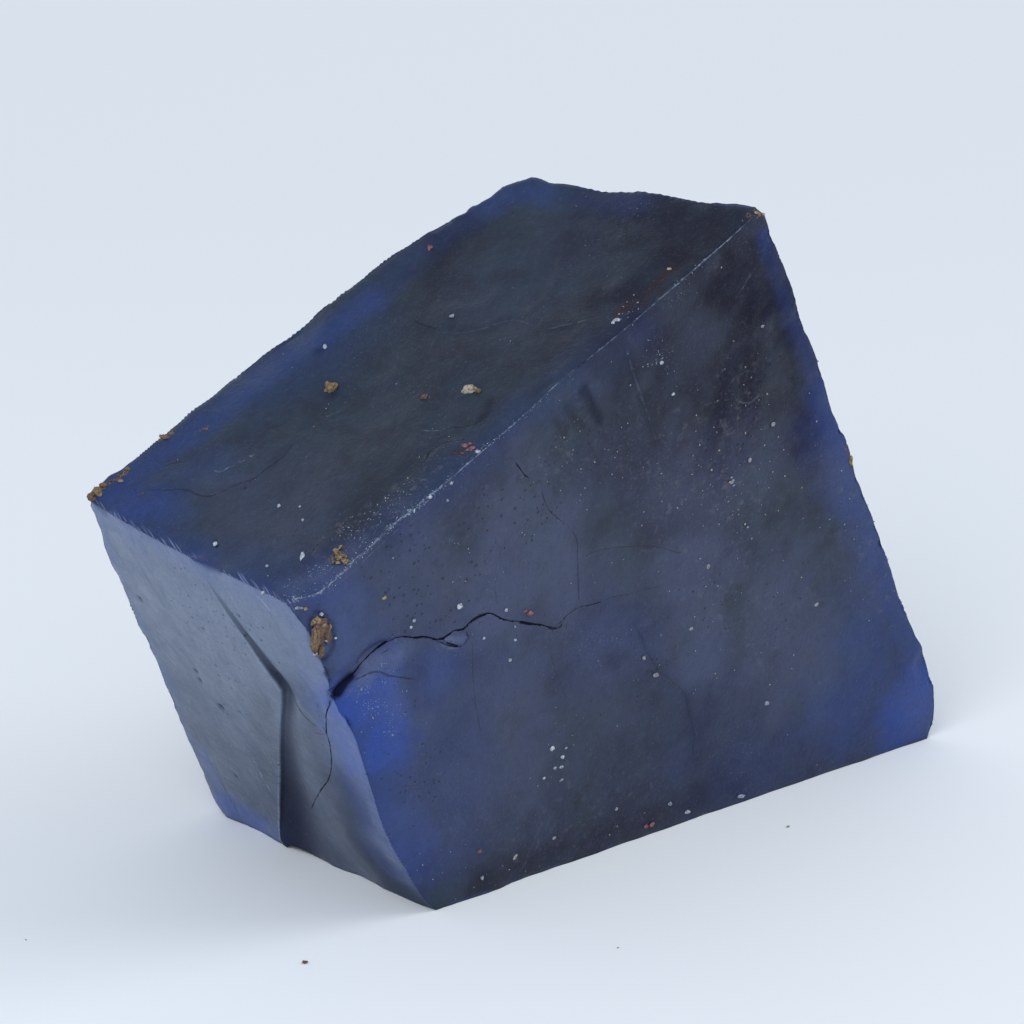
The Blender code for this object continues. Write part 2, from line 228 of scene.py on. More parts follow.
def layered(points, size, seed, layers=3):
    """Noise with finer and weaker layers on it."""
    total = 0
    for i in range(layers):
        total = total + noise(points, size / 2.1**i, seed + 17 * i) / 2**i
    return total


def ramp(values, start, end):
    """0 at start and 1 at end, with a smooth way between."""
    t = np.clip((values - start) / (end - start), 0, 1)
    return t * t * (3 - 2 * t)


# ------------------------------------------------------------------------------------------------------------
# Places on the stone, as paths of picture pixels.

# Dark cracks: (how dark, half width in mm, depth of the groove in mm, then the path's pixels).
CRACKS = (
    (1.0, 0.042, 0.06, (329, 699), (338, 688), (351, 675), (358, 667), (365, 659), (374, 650), (384, 643),
     (394, 639), (403, 637), (414, 638), (426, 637), (438, 640), (447, 636), (455, 631), (464, 629),
     (471, 622), (477, 618), (484, 615), (491, 614), (497, 616), (502, 619), (511, 621), (521, 622),
     (531, 624), (541, 625), (549, 627), (556, 628), (561, 625)),
    (0.9, 0.032, 0.05, (330, 699), (328, 707), (326, 716), (326, 727), (327, 735), (330, 746), (331, 756),
     (331, 768), (328, 780), (321, 790), (313, 803), (309, 812)),
    (0.75, 0.028, 0.04, (552, 628), (558, 625), (563, 619), (570, 613), (579, 607), (590, 605), (601, 602),
     (610, 598), (617, 596)),
    (0.45, 0.026, 0.03, (610, 598), (617, 596), (630, 594), (646, 589), (662, 586)),
    (0.45, 0.045, 0.03, (567, 526), (576, 539), (577, 559), (578, 580), (579, 604)),
    (0.4, 0.04, 0.03, (580, 559), (592, 552), (610, 548), (635, 546), (659, 547), (674, 552), (687, 553)),
    (0.5, 0.04, 0.04, (541, 490), (548, 509), (561, 521), (570, 529)),
    (0.9, 0.05, 0.06, (514, 462), (519, 467), (523, 473), (528, 478)),
    (0.3, 0.045, 0.04, (632, 621), (642, 639), (646, 651), (659, 671), (669, 679), (684, 694), (689, 714),
     (693, 733), (692, 763)),
    (0.45, 0.06, 0.04, (145, 491), (162, 490), (187, 490), (201, 496), (216, 495), (235, 486), (252, 479),
     (267, 468), (284, 456), (296, 441)),
    (0.6, 0.05, 0.05, (467, 440), (455, 441), (443, 444), (434, 449), (429, 454), (426, 462)),
    (0.5, 0.05, 0.03, (435, 430), (452, 428), (466, 427), (480, 422), (490, 415)),
    (0.45, 0.09, 0.03, (414, 320), (424, 325), (437, 329)),
)
MAIN_CRACK, SECOND_CRACK = CRACKS[0][3:], CRACKS[1][3:]
# Weaker dark lines that run close to those.
FINE_LINES = (
    (0.7, 0.05, 0.03, (352, 681), (367, 674), (379, 672), (390, 676), (404, 678), (418, 680)),
    (0.45, 0.035, 0.02, (472, 641), (473, 675), (475, 698), (478, 718), (481, 735)),
    (0.35, 0.035, 0.02, (549, 636), (551, 656), (558, 679), (567, 700)),
    (0.9, 0.06, 0.05, (285, 692), (296, 705), (306, 718), (318, 728)),
    (0.9, 0.035, 0.04, (436, 641), (442, 643), (448, 645), (456, 646), (464, 645), (468, 638), (466, 631)),
    (1.0, 0.08, 0.05, (468, 625), (477, 618), (484, 615), (491, 614), (500, 618)),
    (1.0, 0.065, 0.05, (519, 622), (530, 624), (543, 625)),
    (1.0, 0.075, 0.05, (547, 627), (553, 629), (560, 627), (562, 623)),
    (0.9, 0.06, 0.04, (425, 637), (436, 640), (444, 638)),
    (0.9, 0.05, 0.03, (586, 606), (590, 605), (596, 603)),
    (0.7, 0.04, 0.03, (314, 733), (320, 734), (327, 735)),
    (0.5, 0.05, 0.04, (165, 467), (175, 463), (184, 462)),
    (0.45, 0.05, 0.03, (189, 722), (204, 750), (220, 780), (238, 812)),
    (0.35, 0.04, 0.02, (498, 560), (503, 545), (515, 533), (530, 520)),
    (0.3, 0.05, 0.02, (497, 605), (495, 585), (498, 572)),
)
# Light scratches and scuffs.
SCRATCHES = (
    (0.5, 0.05, 0.0, (290, 597), (305, 597), (320, 591), (341, 573), (353, 560), (370, 546), (392, 525),
     (414, 510)),
    (0.4, 0.03, 0.0, (213, 470), (221, 472), (230, 466), (242, 459)),
    (0.4, 0.03, 0.0, (239, 463), (246, 459), (253, 455)),
    (0.35, 0.03, 0.0, (418, 430), (433, 431), (447, 428)),
    (0.5, 0.04, 0.0, (252, 757), (262, 776), (271, 792)), (0.35, 0.03, 0.0, (306, 457), (311, 452)),
    (0.35, 0.03, 0.0, (321, 417), (332, 414), (340, 410)),
    (0.07, 0.05, 0.0, (436, 331), (455, 332), (480, 329), (500, 322), (516, 319), (535, 326)),
    (0.12, 0.04, 0.0, (548, 329), (570, 324), (590, 320)),
    (0.5, 0.05, 0.0, (254, 594), (264, 603), (272, 614)),
    (0.5, 0.05, 0.0, (247, 676), (254, 686), (260, 692)),
    (0.12, 0.05, 0.0, (626, 345), (634, 375), (648, 415), (656, 440)),
    (0.14, 0.05, 0.0, (724, 394), (733, 380), (745, 372), (758, 372)),
    (0.12, 0.05, 0.0, (735, 398), (742, 403), (752, 402), (760, 394)),
    (0.1, 0.05, 0.0, (703, 406), (716, 402), (728, 400)),
    (0.14, 0.05, 0.0, (735, 298), (742, 289), (752, 272)),
    (0.35, 0.04, 0.0, (205, 640), (222, 664), (236, 690)),
    (0.3, 0.04, 0.0, (262, 748), (272, 764), (279, 776)),
)
# The stepped edge of the sawn plate: (how dark, how far the shade reaches in mm, how deep, pixel).
PLATE_EDGE = (
    (0.0, 0.3, 0.0, (205, 578)), (0.4, 0.7, 0.08, (219, 602)), (0.6, 0.95, 0.2, (239, 632)),
    (0.75, 1.2, 0.34, (259, 662)), (0.9, 1.3, 0.5, (276, 686)), (0.6, 1.2, 0.46, (281, 698)),
    (0.5, 1.6, 0.38, (280, 725)), (0.72, 2.3, 0.38, (279, 754)), (0.95, 3.9, 0.36, (279, 790)),
    (1.0, 4.5, 0.2, (279, 815)), (1.0, 5.5, 0.0, (280, 838)),
)
PLATE_LINE = [row[3] for row in PLATE_EDGE]
# Steps in the broken faces: (height in mm, reach in mm, then the path's pixels), higher on the path's left.
LEDGES = (
    (0.07, 1.6, (414, 320), (437, 329), (480, 329), (516, 318), (550, 329), (589, 320)),
    (0.05, 1.2, (560, 250), (550, 286), (519, 315)),
    (0.06, 1.3, (145, 491), (187, 490), (216, 495), (252, 479), (296, 441)),
    (0.06, 0.9, (467, 440), (443, 444), (426, 462)),
    (0.05, 1.2, (622, 335), (634, 375), (648, 415), (657, 449)),
    (0.05, 1.0, (580, 559), (610, 548), (659, 547), (687, 553)),
    (0.05, 1.0, (567, 526), (577, 559), (579, 604)),
    (0.06, 1.3, (632, 621), (659, 671), (684, 694), (693, 733), (692, 763)),
)

# The solid's own coarse marks, which are made smooth before finer ones are cut: (path, how many of its first
# places keep their sides, side of the faces round it, how far that reaches in mm, reach of the smoothing).
OLD_STEP = ((205, 565), (245, 630), (286, 690), (288, 765), (303, 848))
OLD_CRACK_END = ((570, 616), (587, 607), (601, 602), (618, 597), (648, 589), (662, 587))
OLD_GROOVE = ((331, 700), (334, 714), (336, 728), (337, 742), (336, 757), (333, 770), (327, 783), (315, 797),
              (309, 811))
OLD_MARKS = (
    (MAIN_CRACK, 12, "front", 0.7, 0.8),
    (OLD_GROOVE, 8, "near", 0.7, 0.9),
    (OLD_STEP, 0, "near", 1.1, 1.1),
    (MAIN_CRACK[-1:] + OLD_CRACK_END, 0, "front", 0.6, 0.7),
)
# Where the prow is cut anew across the groove in it: (pixel, reach in mm, how far out its faces are read).
PROW_MEND = ((331, 702), 2.1, 2.9)
PROW_CORE = 0.64  # the share of that reach in which nothing of the old prow is kept
BASE_MEND = ((290, 843), 1.8)  # where the foot of the plate's edge is worn: (pixel, reach in mm)
# Where the outline is drawn out or in: (shift in mm, reach in mm, then the path's pixels).
SHIFTS = (
    ((0.23, -0.13, 0.09), 3.0, (768, 232), (785, 275), (800, 315), (812, 347)),
    ((-0.28, 0.16, -0.11), 1.2, (925, 660), (929, 672)), ((0.08, -0.05, 0.03), 1.2, (903, 612), (908, 628)),
    ((0.08, 0.05, 0.2), 2.5, (640, 191), (700, 201), (740, 207)),
    ((-0.05, 0.13, 0.17), 2.5, (385, 258), (400, 247), (431, 230)),
    ((0.06, -0.12, -0.15), 2.5, (251, 365), (270, 350), (292, 332)),
    ((-0.05, 0.13, 0.17), 2.2, (110, 474), (134, 456), (173, 426), (190, 413)),
    ((-0.1, 0.12, 0.1), 1.2, (92, 492), (105, 476)), ((-0.46, -0.58, 0.0), 3.2, (300, 846), (330, 862)),
    ((-0.31, 0.25, 0.0), 2.4, (222, 810), (226, 813)), ((0.16, 0.2, 0.0), 0.6, (281, 844), (286, 849)),
    ((-0.1, 0.05, -0.04), 1.5, (105, 550), (112, 566)), ((-0.1, 0.05, -0.04), 1.5, (142, 630), (150, 645)),
    ((0.0, -0.26, 0.0), 2.2, (430, 909), (450, 904), (484, 893)),
    ((0.0, 0.09, 0.16), 1.5, (512, 184), (530, 181)),
)

WORN_RIDGE = ((286, 594), (300, 598), (320, 591), (341, 573), (353, 560), (370, 546), (392, 525), (414, 510),
              (431, 496), (451, 481))
# Soft-edged patches: (seed and size of the wobble in their outlines, rows). Each row is (strength, reach in
# mm, then the path's pixels).
PATCHES = {
    # Painted glow: cobalt colour that stands in for light shining through the stone's thin parts.
    "painted_glow": (211, 0.22, (
        (0.5, 2.4, (104, 502), (130, 508), (160, 505)),
        (0.4, 1.5, (104, 494), (150, 462), (210, 422), (270, 374), (330, 330), (370, 302)),
        (0.16, 1.4, (380, 290), (430, 245), (480, 212)), (0.17, 3.0, (250, 395), (310, 360), (340, 330)),
        (0.34, 1.3, (485, 208), (520, 192), (545, 196)), (0.16, 1.2, (560, 198), (640, 202)),
        (0.36, 1.5, (115, 515), (180, 553), (250, 588), (300, 600)), (0.35, 1.7, (290, 597), (340, 590)),
        (0.48, 3.0, (335, 600), (345, 625), (350, 655)),
        (0.16, 1.8, (352, 585), (420, 508), (500, 438), (560, 395), (640, 335)),
        (0.16, 1.4, (340, 565), (420, 495), (500, 430)), (0.14, 1.6, (415, 530), (405, 550)),
        (0.12, 2.5, (395, 590), (405, 615)), (1.25, 2.6, (342, 702), (365, 705), (385, 712), (385, 745)),
        (0.6, 1.7, (365, 682), (392, 662)), (0.55, 3.0, (352, 745), (380, 800), (400, 840), (410, 865)),
        (0.22, 4.5, (425, 700), (440, 745), (450, 800), (440, 830)), (0.12, 3.5, (470, 660), (500, 670)),
        (0.36, 0.7, (764, 235), (778, 275), (792, 320)), (0.42, 0.8, (794, 322), (805, 348), (813, 372)),
        (0.2, 1.8, (240, 560), (275, 566)), (0.22, 2.0, (175, 475), (215, 465)),
        (0.46, 3.0, (415, 690), (432, 680)), (0.47, 1.9, (824, 392), (834, 422), (848, 460)),
        (0.2, 1.6, (806, 425), (816, 450)), (0.45, 2.3, (850, 470), (862, 500), (890, 580), (912, 650)),
        (0.85, 3.4, (924, 690), (908, 715)), (0.28, 2.0, (885, 725), (850, 735)),
        (0.37, 4.5, (872, 630), (864, 680), (848, 705)), (0.1, 2.8, (700, 660), (705, 700), (690, 750)),
        (0.14, 4.0, (810, 730), (775, 765), (740, 770)), (0.14, 3.0, (600, 640), (630, 640)),
        (0.35, 0.9, (99, 525), (126, 600), (152, 662), (186, 742), (222, 812)),
        (0.5, 0.9, (203, 752), (212, 775), (226, 800)), (0.8, 1.6, (224, 806), (240, 812), (262, 826)),
        (0.45, 1.2, (262, 828), (282, 838)), (0.9, 2.0, (340, 712), (346, 740), (352, 765)),
        (0.4, 2.4, (352, 780), (380, 830), (405, 870)),
        (0.35, 1.6, (290, 615), (310, 640), (322, 665), (331, 690)),
        (0.2, 1.0, (110, 520), (200, 566), (290, 615)),
    )),
    # Pale haze on the surface.
    "haze": (261, 0.35, (
        (0.6, 5.0, (545, 560), (480, 600), (540, 580)), (0.4, 2.5, (390, 580), (392, 600), (402, 622)),
        (0.55, 4.0, (520, 505), (505, 540)), (0.45, 5.0, (500, 690), (520, 760)),
        (0.3, 4.5, (600, 640), (590, 700)), (0.45, 5.0, (780, 600), (800, 660)),
        (0.35, 4.0, (680, 490), (740, 470)), (0.45, 1.6, (300, 585), (330, 575), (350, 558)),
        (0.3, 4.0, (250, 500), (290, 520)), (0.12, 4.0, (560, 230), (500, 290)),
        (0.3, 2.5, (440, 685), (455, 705)), (0.35, 2.5, (440, 775), (455, 790)),
        (0.3, 3.0, (620, 590), (600, 560)), (1.3, 0.45, (447, 641), (455, 642), (463, 638)),
        (0.95, 1.3, (366, 674), (382, 664), (398, 654)), (0.45, 2.6, (345, 610), (352, 640)),
        (0.45, 2.2, (392, 682), (405, 700), (412, 725)), (0.3, 2.6, (852, 470), (858, 500)),
        (0.25, 3.0, (855, 540), (870, 590)), (0.45, 3.2, (420, 560), (440, 600), (394, 605)),
        (0.3, 3.0, (420, 745), (415, 800), (440, 820)), (0.5, 3.5, (690, 560), (700, 600), (705, 650)),
        (0.25, 2.0, (915, 700), (925, 715)),
    )),
    # Dark navy: painted shade in hollows, notches and pits, and some darker marks in the stone.
    "shade_and_dark": (201, 0.35, (
        (1.6, 0.5, (339, 690), (344, 684), (350, 677)), (0.6, 0.4, (350, 678), (358, 668)),
        (0.45, 1.8, (775, 262), (785, 300), (795, 340), (805, 375)), (0.55, 1.6, (620, 345), (628, 362)),
        (0.3, 2.5, (715, 285), (740, 310), (752, 345)), (0.45, 0.8, (612, 657), (617, 660)),
        (0.75, 0.45, (584, 389), (592, 406), (600, 422)), (0.55, 0.42, (565, 407), (575, 418), (586, 431)),
        (0.35, 0.38, (607, 393), (611, 404), (613, 414)), (0.5, 1.1, (600, 365), (618, 370), (628, 382)),
        (0.4, 0.5, (640, 395), (646, 415), (655, 440)), (0.5, 0.4, (555, 420), (565, 435)),
        (0.55, 0.5, (693, 395), (715, 398), (725, 402)), (0.6, 0.5, (725, 385), (735, 365), (748, 350)),
        (0.6, 0.5, (748, 430), (762, 420)), (0.6, 0.45, (480, 420), (487, 413), (490, 402)),
        (0.6, 0.35, (279, 678), (287, 686), (291, 692)), (0.5, 0.45, (530, 395), (545, 385)),
        (0.35, 1.2, (415, 700), (413, 690)), (0.45, 0.9, (722, 410), (735, 395), (745, 375)),
        (0.5, 0.6, (760, 320), (763, 300), (768, 290)), (0.45, 0.7, (790, 395), (775, 410)),
        (0.5, 0.4, (95, 503), (104, 512)), (0.32, 0.8, (500, 276), (523, 276)),
        (0.75, 0.22, (312, 618), (309, 634), (314, 652), (325, 659), (333, 646), (333, 628), (325, 614),
         (316, 612)),
        (0.5, 0.3, (318, 352), (322, 350)), (0.5, 0.3, (332, 396), (326, 398)),
    )),
    # Purple-brown dark clouds in the stone.
    "warm": (231, 0.4, (
        (0.85, 4.5, (640, 290), (690, 260), (730, 240)), (0.6, 3.0, (560, 330), (620, 310)),
        (1.0, 3.8, (745, 330), (745, 400), (715, 440)), (1.1, 3.0, (715, 285), (745, 310), (780, 300)),
        (0.9, 1.6, (762, 244), (770, 262)), (1.0, 2.2, (788, 335), (797, 400), (808, 438)),
        (0.7, 3.0, (440, 290), (440, 262), (470, 235)), (0.65, 2.5, (630, 242), (580, 236)),
        (0.8, 3.0, (660, 350), (680, 390)), (0.82, 2.6, (600, 210), (680, 215), (735, 225)),
        (0.6, 1.2, (455, 236), (478, 226)), (0.5, 1.5, (390, 290), (415, 270)),
        (0.4, 3.5, (380, 470), (330, 490), (290, 500)), (0.4, 3.0, (470, 340), (430, 370), (520, 360)),
        (0.7, 1.6, (740, 785), (660, 812), (560, 850), (480, 885)), (0.45, 2.5, (345, 540), (370, 505)),
        (0.6, 1.2, (700, 700), (698, 760)), (0.5, 3.0, (640, 420), (660, 500)),
    )),
    # Red-brown streaks.
    "rust": (241, 0.6, (
        (0.75, 0.32, (618, 313), (638, 299), (656, 284), (672, 266)),
        (0.45, 0.26, (628, 316), (646, 302), (660, 290)), (0.2, 0.35, (505, 276), (523, 277)),
        (0.5, 0.45, (455, 452), (470, 455)),
    )),
    # Golden-brown crust.
    "gold": (243, 0.6, (
        (1.0, 0.45, (93, 494), (100, 490), (106, 484)), (0.7, 0.3, (112, 481), (120, 476), (127, 470)),
        (0.8, 0.28, (158, 441), (166, 436), (172, 432)), (0.45, 0.25, (200, 430), (208, 428)),
        (0.4, 0.35, (848, 448), (853, 462), (856, 476)), (0.45, 0.3, (752, 214), (762, 211), (766, 214)),
        (0.35, 0.3, (140, 494), (150, 492)), (0.4, 0.6, (332, 556), (345, 548)),
    )),
    # Painted glints: fine pale sparkle, most of it along the worn ridge.
    "painted_glints": (245, 0.5, (
        (0.65, 0.26, *WORN_RIDGE), (0.45, 0.18, (451, 481), (478, 452), (500, 436), (541, 402)),
        (0.25, 1.0, (292, 586), (312, 576), (332, 562)), (0.25, 1.1, (350, 540), (385, 512), (410, 490)),
        (0.35, 0.6, (668, 300), (680, 290)), (0.35, 0.6, (655, 360), (668, 350)),
        (0.3, 1.2, (390, 720), (370, 700), (380, 680)),
    )),
    # Dim pale blotches.
    "fleck": (249, 0.35, (
        (0.9, 3.0, (742, 400), (720, 470), (740, 530)), (0.8, 4.0, (650, 450), (690, 560), (760, 620)),
        (0.7, 3.0, (590, 400), (570, 460)), (0.3, 2.0, (690, 300), (720, 265)),
        (0.35, 3.0, (755, 325), (760, 370)), (1.0, 0.6, (757, 420), (766, 421)),
        (0.9, 0.5, (741, 411), (746, 413)), (0.8, 0.7, (736, 385), (745, 374), (758, 372)),
        (0.6, 2.5, (838, 480), (862, 530), (890, 620)), (0.5, 3.0, (560, 780), (520, 850), (640, 800)),
        (1.0, 1.4, (335, 545), (365, 525), (400, 495), (430, 470)), (0.4, 4.0, (440, 560), (480, 520)),
    )),
    # Where the sawn end gets no painted sheen, is rougher and is as dark as the broken faces.
    "dull": (247, 0.2, (
        (0.8, 3.2, (365, 850), (392, 882), (425, 905)), (0.7, 3.2, (345, 790), (360, 840)),
        (0.45, 2.2, (300, 842), (340, 862)), (0.35, 2.5, (240, 815), (280, 832)),
        (0.38, 1.8, (298, 690), (310, 720), (320, 755)), (0.32, 1.2, (262, 700), (268, 740), (270, 800)),
    )),
    # Where the faces are lumpy.
    "lumps": (251, 0.35, (
        (1.0, 4.0, (760, 320), (745, 380), (720, 430)), (0.6, 4.0, (690, 470), (660, 440)),
        (0.5, 3.0, (430, 570), (400, 600)), (0.6, 2.0, (300, 575), (340, 560)),
        (0.6, 2.5, (575, 430), (600, 400)),
    )),
    # Where the surface is pitted.
    "pitted": (255, 0.35, (
        (1.0, 3.0, (385, 575), (420, 600), (455, 590)), (0.8, 3.5, (490, 520), (540, 500)),
        (0.8, 3.0, (570, 450), (600, 430)), (0.9, 4.0, (745, 330), (740, 430)),
        (0.7, 2.5, (380, 555), (410, 550)), (0.5, 4.5, (240, 640), (200, 600), (230, 700)),
        (0.6, 4.0, (400, 740), (410, 800)), (0.5, 4.0, (250, 560), (330, 550)),
        (0.5, 5.0, (620, 700), (700, 620), (780, 600)),
    )),
}
PATCH_GRAIN = 1.8  # the grain of that wobble in mm
PATCH_FADE = 1.4  # where a patch has faded out, as a multiple of its reach
PATCH_LIMIT = 1.6  # how far it is worked out

# Pits, dented and darkened with painted shade: (radius in mm, depth in mm, pixel).
PITS = (
    (0.2, 0.14, (140, 599)), (0.18, 0.14, (196, 671)), (0.17, 0.14, (200, 680)), (0.26, 0.2, (221, 707)),
    (0.14, 0.08, (236, 776)), (0.12, 0.06, (239, 616)), (0.14, 0.06, (203, 629)), (0.13, 0.08, (386, 593)),
    (0.15, 0.08, (216, 541)), (0.14, 0.08, (217, 546)), (0.12, 0.06, (245, 488)),
)
PIT_SPREAD = 1.4  # how far a pit's dent reaches, as a multiple of its radius
# How strong the painted shade in a pit is.
PIT_SHADE = 0.9

# The block's corners in mm from the front foot, and the edges between them.
CORNERS = {
    "foot_front": (0.0, 0.0, 0.0), "foot_far": (37.0, 0.0, 0.0),
    "foot_back_far": (32.0, 15.3, 0.0), "foot_back": (-1.9, 17.5, 0.0),
    "crown_front": (-10.3, -1.6, 21.5), "crown_far": (20.8, -2.7, 37.6),
    "crown_back_far": (15.0, 11.4, 36.7), "crown_back": (-12.3, 15.2, 22.8),
}
BLOCK_EDGES = {
    "arc": ("crown_back", "crown_front"), "ridge": ("crown_front", "crown_far"),
    "prow": ("crown_front", "foot_front"), "top_back": ("crown_back", "crown_back_far"),
    "top_far": ("crown_far", "crown_back_far"), "far_front": ("crown_far", "foot_far"),
    "near_back": ("crown_back", "foot_back"), "far_back": ("crown_back_far", "foot_back_far"),
    "base_front": ("foot_front", "foot_far"), "base_near": ("foot_front", "foot_back"),
    "base_back": ("foot_back", "foot_back_far"), "base_far": ("foot_far", "foot_back_far"),
}
FINE_EDGES = ("arc", "ridge", "prow", "top_back", "far_front", "near_back")
EDGE_BOW = 3.0  # how far a block edge may lie from the straight line between its corners
EDGE_TURN = 2.0  # how many mm away an edge counts as that runs square to that line
EDGE_STEP = 0.15

# All that follows is in mm, apart from shares.
FINE_PIECES = 8  # how many pieces a path's stretches are cut into where it is carved
SIDE_BLEND = (0.75, 0.93)  # how squarely a place faces a side where it begins and ends to count as part of it
LINE_REACH = 0.6  # how far from a crack or scratch the signed distance from it is known
LINE_FADE = (0.34, 0.46)
LINE_TAPER = 0.06  # the share of a line's length in which each of its ends tapers off
PLATE_REACH = 6.5
PLATE_FADE = (5.5, 6.4)
PLATE_FACING = (0.4, 0.7)
STEP_FALL = (-0.05, 0.14)  # where the step beside the plate falls, across its edge
STEP_RUN = 0.2  # the least width of its slope back up
LEDGE_TAPER = 0.12
LEDGE_FALL = 0.12  # half the width in which a ledge falls, and how far its line wanders
LEDGE_TOP = 0.1
CRACK_REACH = 0.4
CRACK_TAPER = 0.1
MOUTH = (0.02, 0.12)  # the share of a crack's length in which it opens wide at the prow
MOUTH_FACING = (0.2, 0.8)
MOUTH_WIDTH, MOUTH_DEPTH = 0.20, 0.12
# The relief of the rough surface: (height, grain, seed). Each side adds its own share to the common one.
RELIEF = ((0.04, 4.5, 11), (0.016, 1.5, 23), (0.007, 0.45, 31))
COMMON_RELIEF = 0.7
SIDE_RELIEF = {"top": 0.5, "back": 0.9, "far": 0.9, "near": -0.35}
SHELL_GRAIN = 5.0
SHELL_MIDDLE = 0.4
SHELL_TOP, SHELL_HIDDEN = 0.05, 0.12  # how high the curved shells of a break stand
SAW_MARK, SAW_GRAIN = 0.010, 0.5
EDGE_WEAR, WEAR_NOISE, WEAR_REACH = 0.035, 0.03, 0.28
CHIP, CHIP_GRAIN, CHIP_REACH = 0.06, 1.1, (0.15, 0.6)
NICK, NICK_GRAIN, NICK_REACH = 0.11, 0.2, (0.05, 0.45)
LUMP, LUMP_GRAIN = 0.10, 1.1
FOOT_FADE = 0.3  # the height above the ground in which the relief grows to its full strength
FOOT_WANDER = 0.08
HIDDEN_FACING = (-0.1, 0.15)  # how far a hidden place turns away from the camera


def on_stone(surface, px, py):
    """Where the camera's ray through a pixel meets the solid, or the place on the solid closest to it."""
    ray = Vector(picture_ray(px, py))
    start = Vector(CAMERA_AT)
    place = surface.ray_cast(start, ray)[0]
    if place is None:
        place = Vector()
        for _ in range(NEAREST_ROUNDS):
            place = surface.find_nearest(start + ray * (place - start).dot(ray))[0]
    return np.array(place)


def smooth_path(points, pieces=5):
    """A path through the points with rounded corners."""
    points = np.asarray(points)
    ends = np.concatenate((points[:1] * 2 - points[1:2], points, points[-1:] * 2 - points[-2:-1]))
    out = []
    for p0, p1, p2, p3 in zip(ends, ends[1:], ends[2:], ends[3:]):
        for t in np.arange(pieces) / pieces:
            out.append(p1 + 0.5 * t * (p2 - p0 + t * (2 * p0 - 5 * p1 + 4 * p2 - p3
                                                      + t * (3 * (p1 - p2) + p3 - p0))))
    out.append(points[-1])
    return np.array(out)


def laid(surface, path, pieces=5):
    """A path of pixels as a smooth line on the stone."""
    return smooth_path([on_stone(surface, *pixel) for pixel in path], pieces)


def to_path(points, path, reach):
    """For the points within reach of a path: numbers, distance from it, share along it, and two vectors.

    The vectors are the one from the path to the point and the path's own direction there.
    """
    low, high = path.min(0) - reach, path.max(0) + reach
    close = np.flatnonzero(((points > low) & (points < high)).all(1))
    best = np.full(len(close), np.inf)
    share = np.zeros(len(close))
    offset = np.zeros((len(close), 3))
    along = np.zeros((len(close), 3))
    steps = np.linalg.norm(np.diff(path, axis=0), axis=1)
    at = np.concatenate(((0,), np.cumsum(steps)))
    for a, b, start, step in zip(path, path[1:], at, steps):
        run = (b - a) / max(step, 1e-9)
        t = np.clip((points[close] - a) @ run, 0, step)
        away = points[close] - a - t[:, None] * run
        d = np.linalg.norm(away, axis=1)
        nearer = d < best
        best[nearer] = d[nearer]
        share[nearer] = (start + t[nearer]) / at[-1]
        offset[nearer] = away[nearer]
        along[nearer] = run
    inside = best < reach
    return close[inside], best[inside], share[inside], offset[inside], along[inside]


def beside(points, normals, line, reach):
    """For the points within reach of a line: numbers, how far to its left they lie, and share along it."""
    close, _, share, offset, along = to_path(points, line, reach)
    return close, (unit(np.cross(normals[close], along)) * offset).sum(1), share


def tapered(share, taper, level=1.0):
    """A level that fades to 0 at both ends of a line, by the share along it."""
    return level * ramp(share, 0, taper) * ramp(1 - share, 0, taper)


# ------------------------------------------------------------------------------------------------------------
# The stone's shape.


def classify(points, tris):
    """Which side of the block each triangle belongs to."""
    facing = unit(face_normals(points, tris))
    return np.argmax(facing @ unit(np.array(list(SIDES.values()))).T, axis=1)


def sharp_edges(points, tris):
    """The edges where the mesh bends sharply, with the two triangles of each."""
    edges, of_tri = edge_table(tris)
    order = np.argsort(of_tri.ravel(), kind="stable")
    two = order.reshape(-1, 2) // 3
    facing = unit(face_normals(points, tris))
    bend = (facing[two[:, 0]] * facing[two[:, 1]]).sum(1)
    sharp = bend < math.cos(math.radians(SHARP_DEGREES))
    return edges, sharp, two


def drawn_tight(points, edges, region):
    """Pulls a region of the mesh flat between the points round it."""
    near = edges[region[edges].any(1)]
    used, local = np.unique(near, return_inverse=True)
    local = local.reshape(-1, 2)
    places, free = points[used], region[used]
    total = np.bincount(local.ravel(), minlength=len(used))
    for _ in range(FILL_ROUNDS):
        mean = averaged(places, local, total)
        places[free] = mean[free]
    points[used] = places


def smoothed(points, tris, labels, mended, prow, foot):
    """The mesh worn smooth between its sharp edges, which keep their places, and flat where it is mended."""
    edges, sharp, two = sharp_edges(points, tris)
    total = np.bincount(edges.ravel(), minlength=len(points))
    bent = (labels[two[:, 0]] != labels[two[:, 1]]) | ~mended[edges].all(1)
    hard = edges[sharp & bent & ~prow[edges].all(1)]
    hard_total = np.bincount(hard.ravel(), minlength=len(points))
    on_edge = hard_total > 0
    movable = hard_total == 2
    drawn_tight(points, edges, mended & ~on_edge)
    for turn in range(SMOOTH_ROUNDS):
        along = averaged(points, hard, hard_total)
        worn = movable if turn < SMOOTH_EDGE_ROUNDS else movable & foot
        points[worn] = points[worn] * 0.5 + along[worn] * 0.5
        mean = averaged(points, edges, total)
        points[~on_edge] = mean[~on_edge]
    points[:, 2] = np.maximum(points[:, 2], 0)
    return points


def sheet_terms(flat):
    """The terms of a gently curved sheet over flat places."""
    x, y = flat.T
    return np.stack((np.ones(len(x)), x, y, x * x, x * y, y * y), 1)


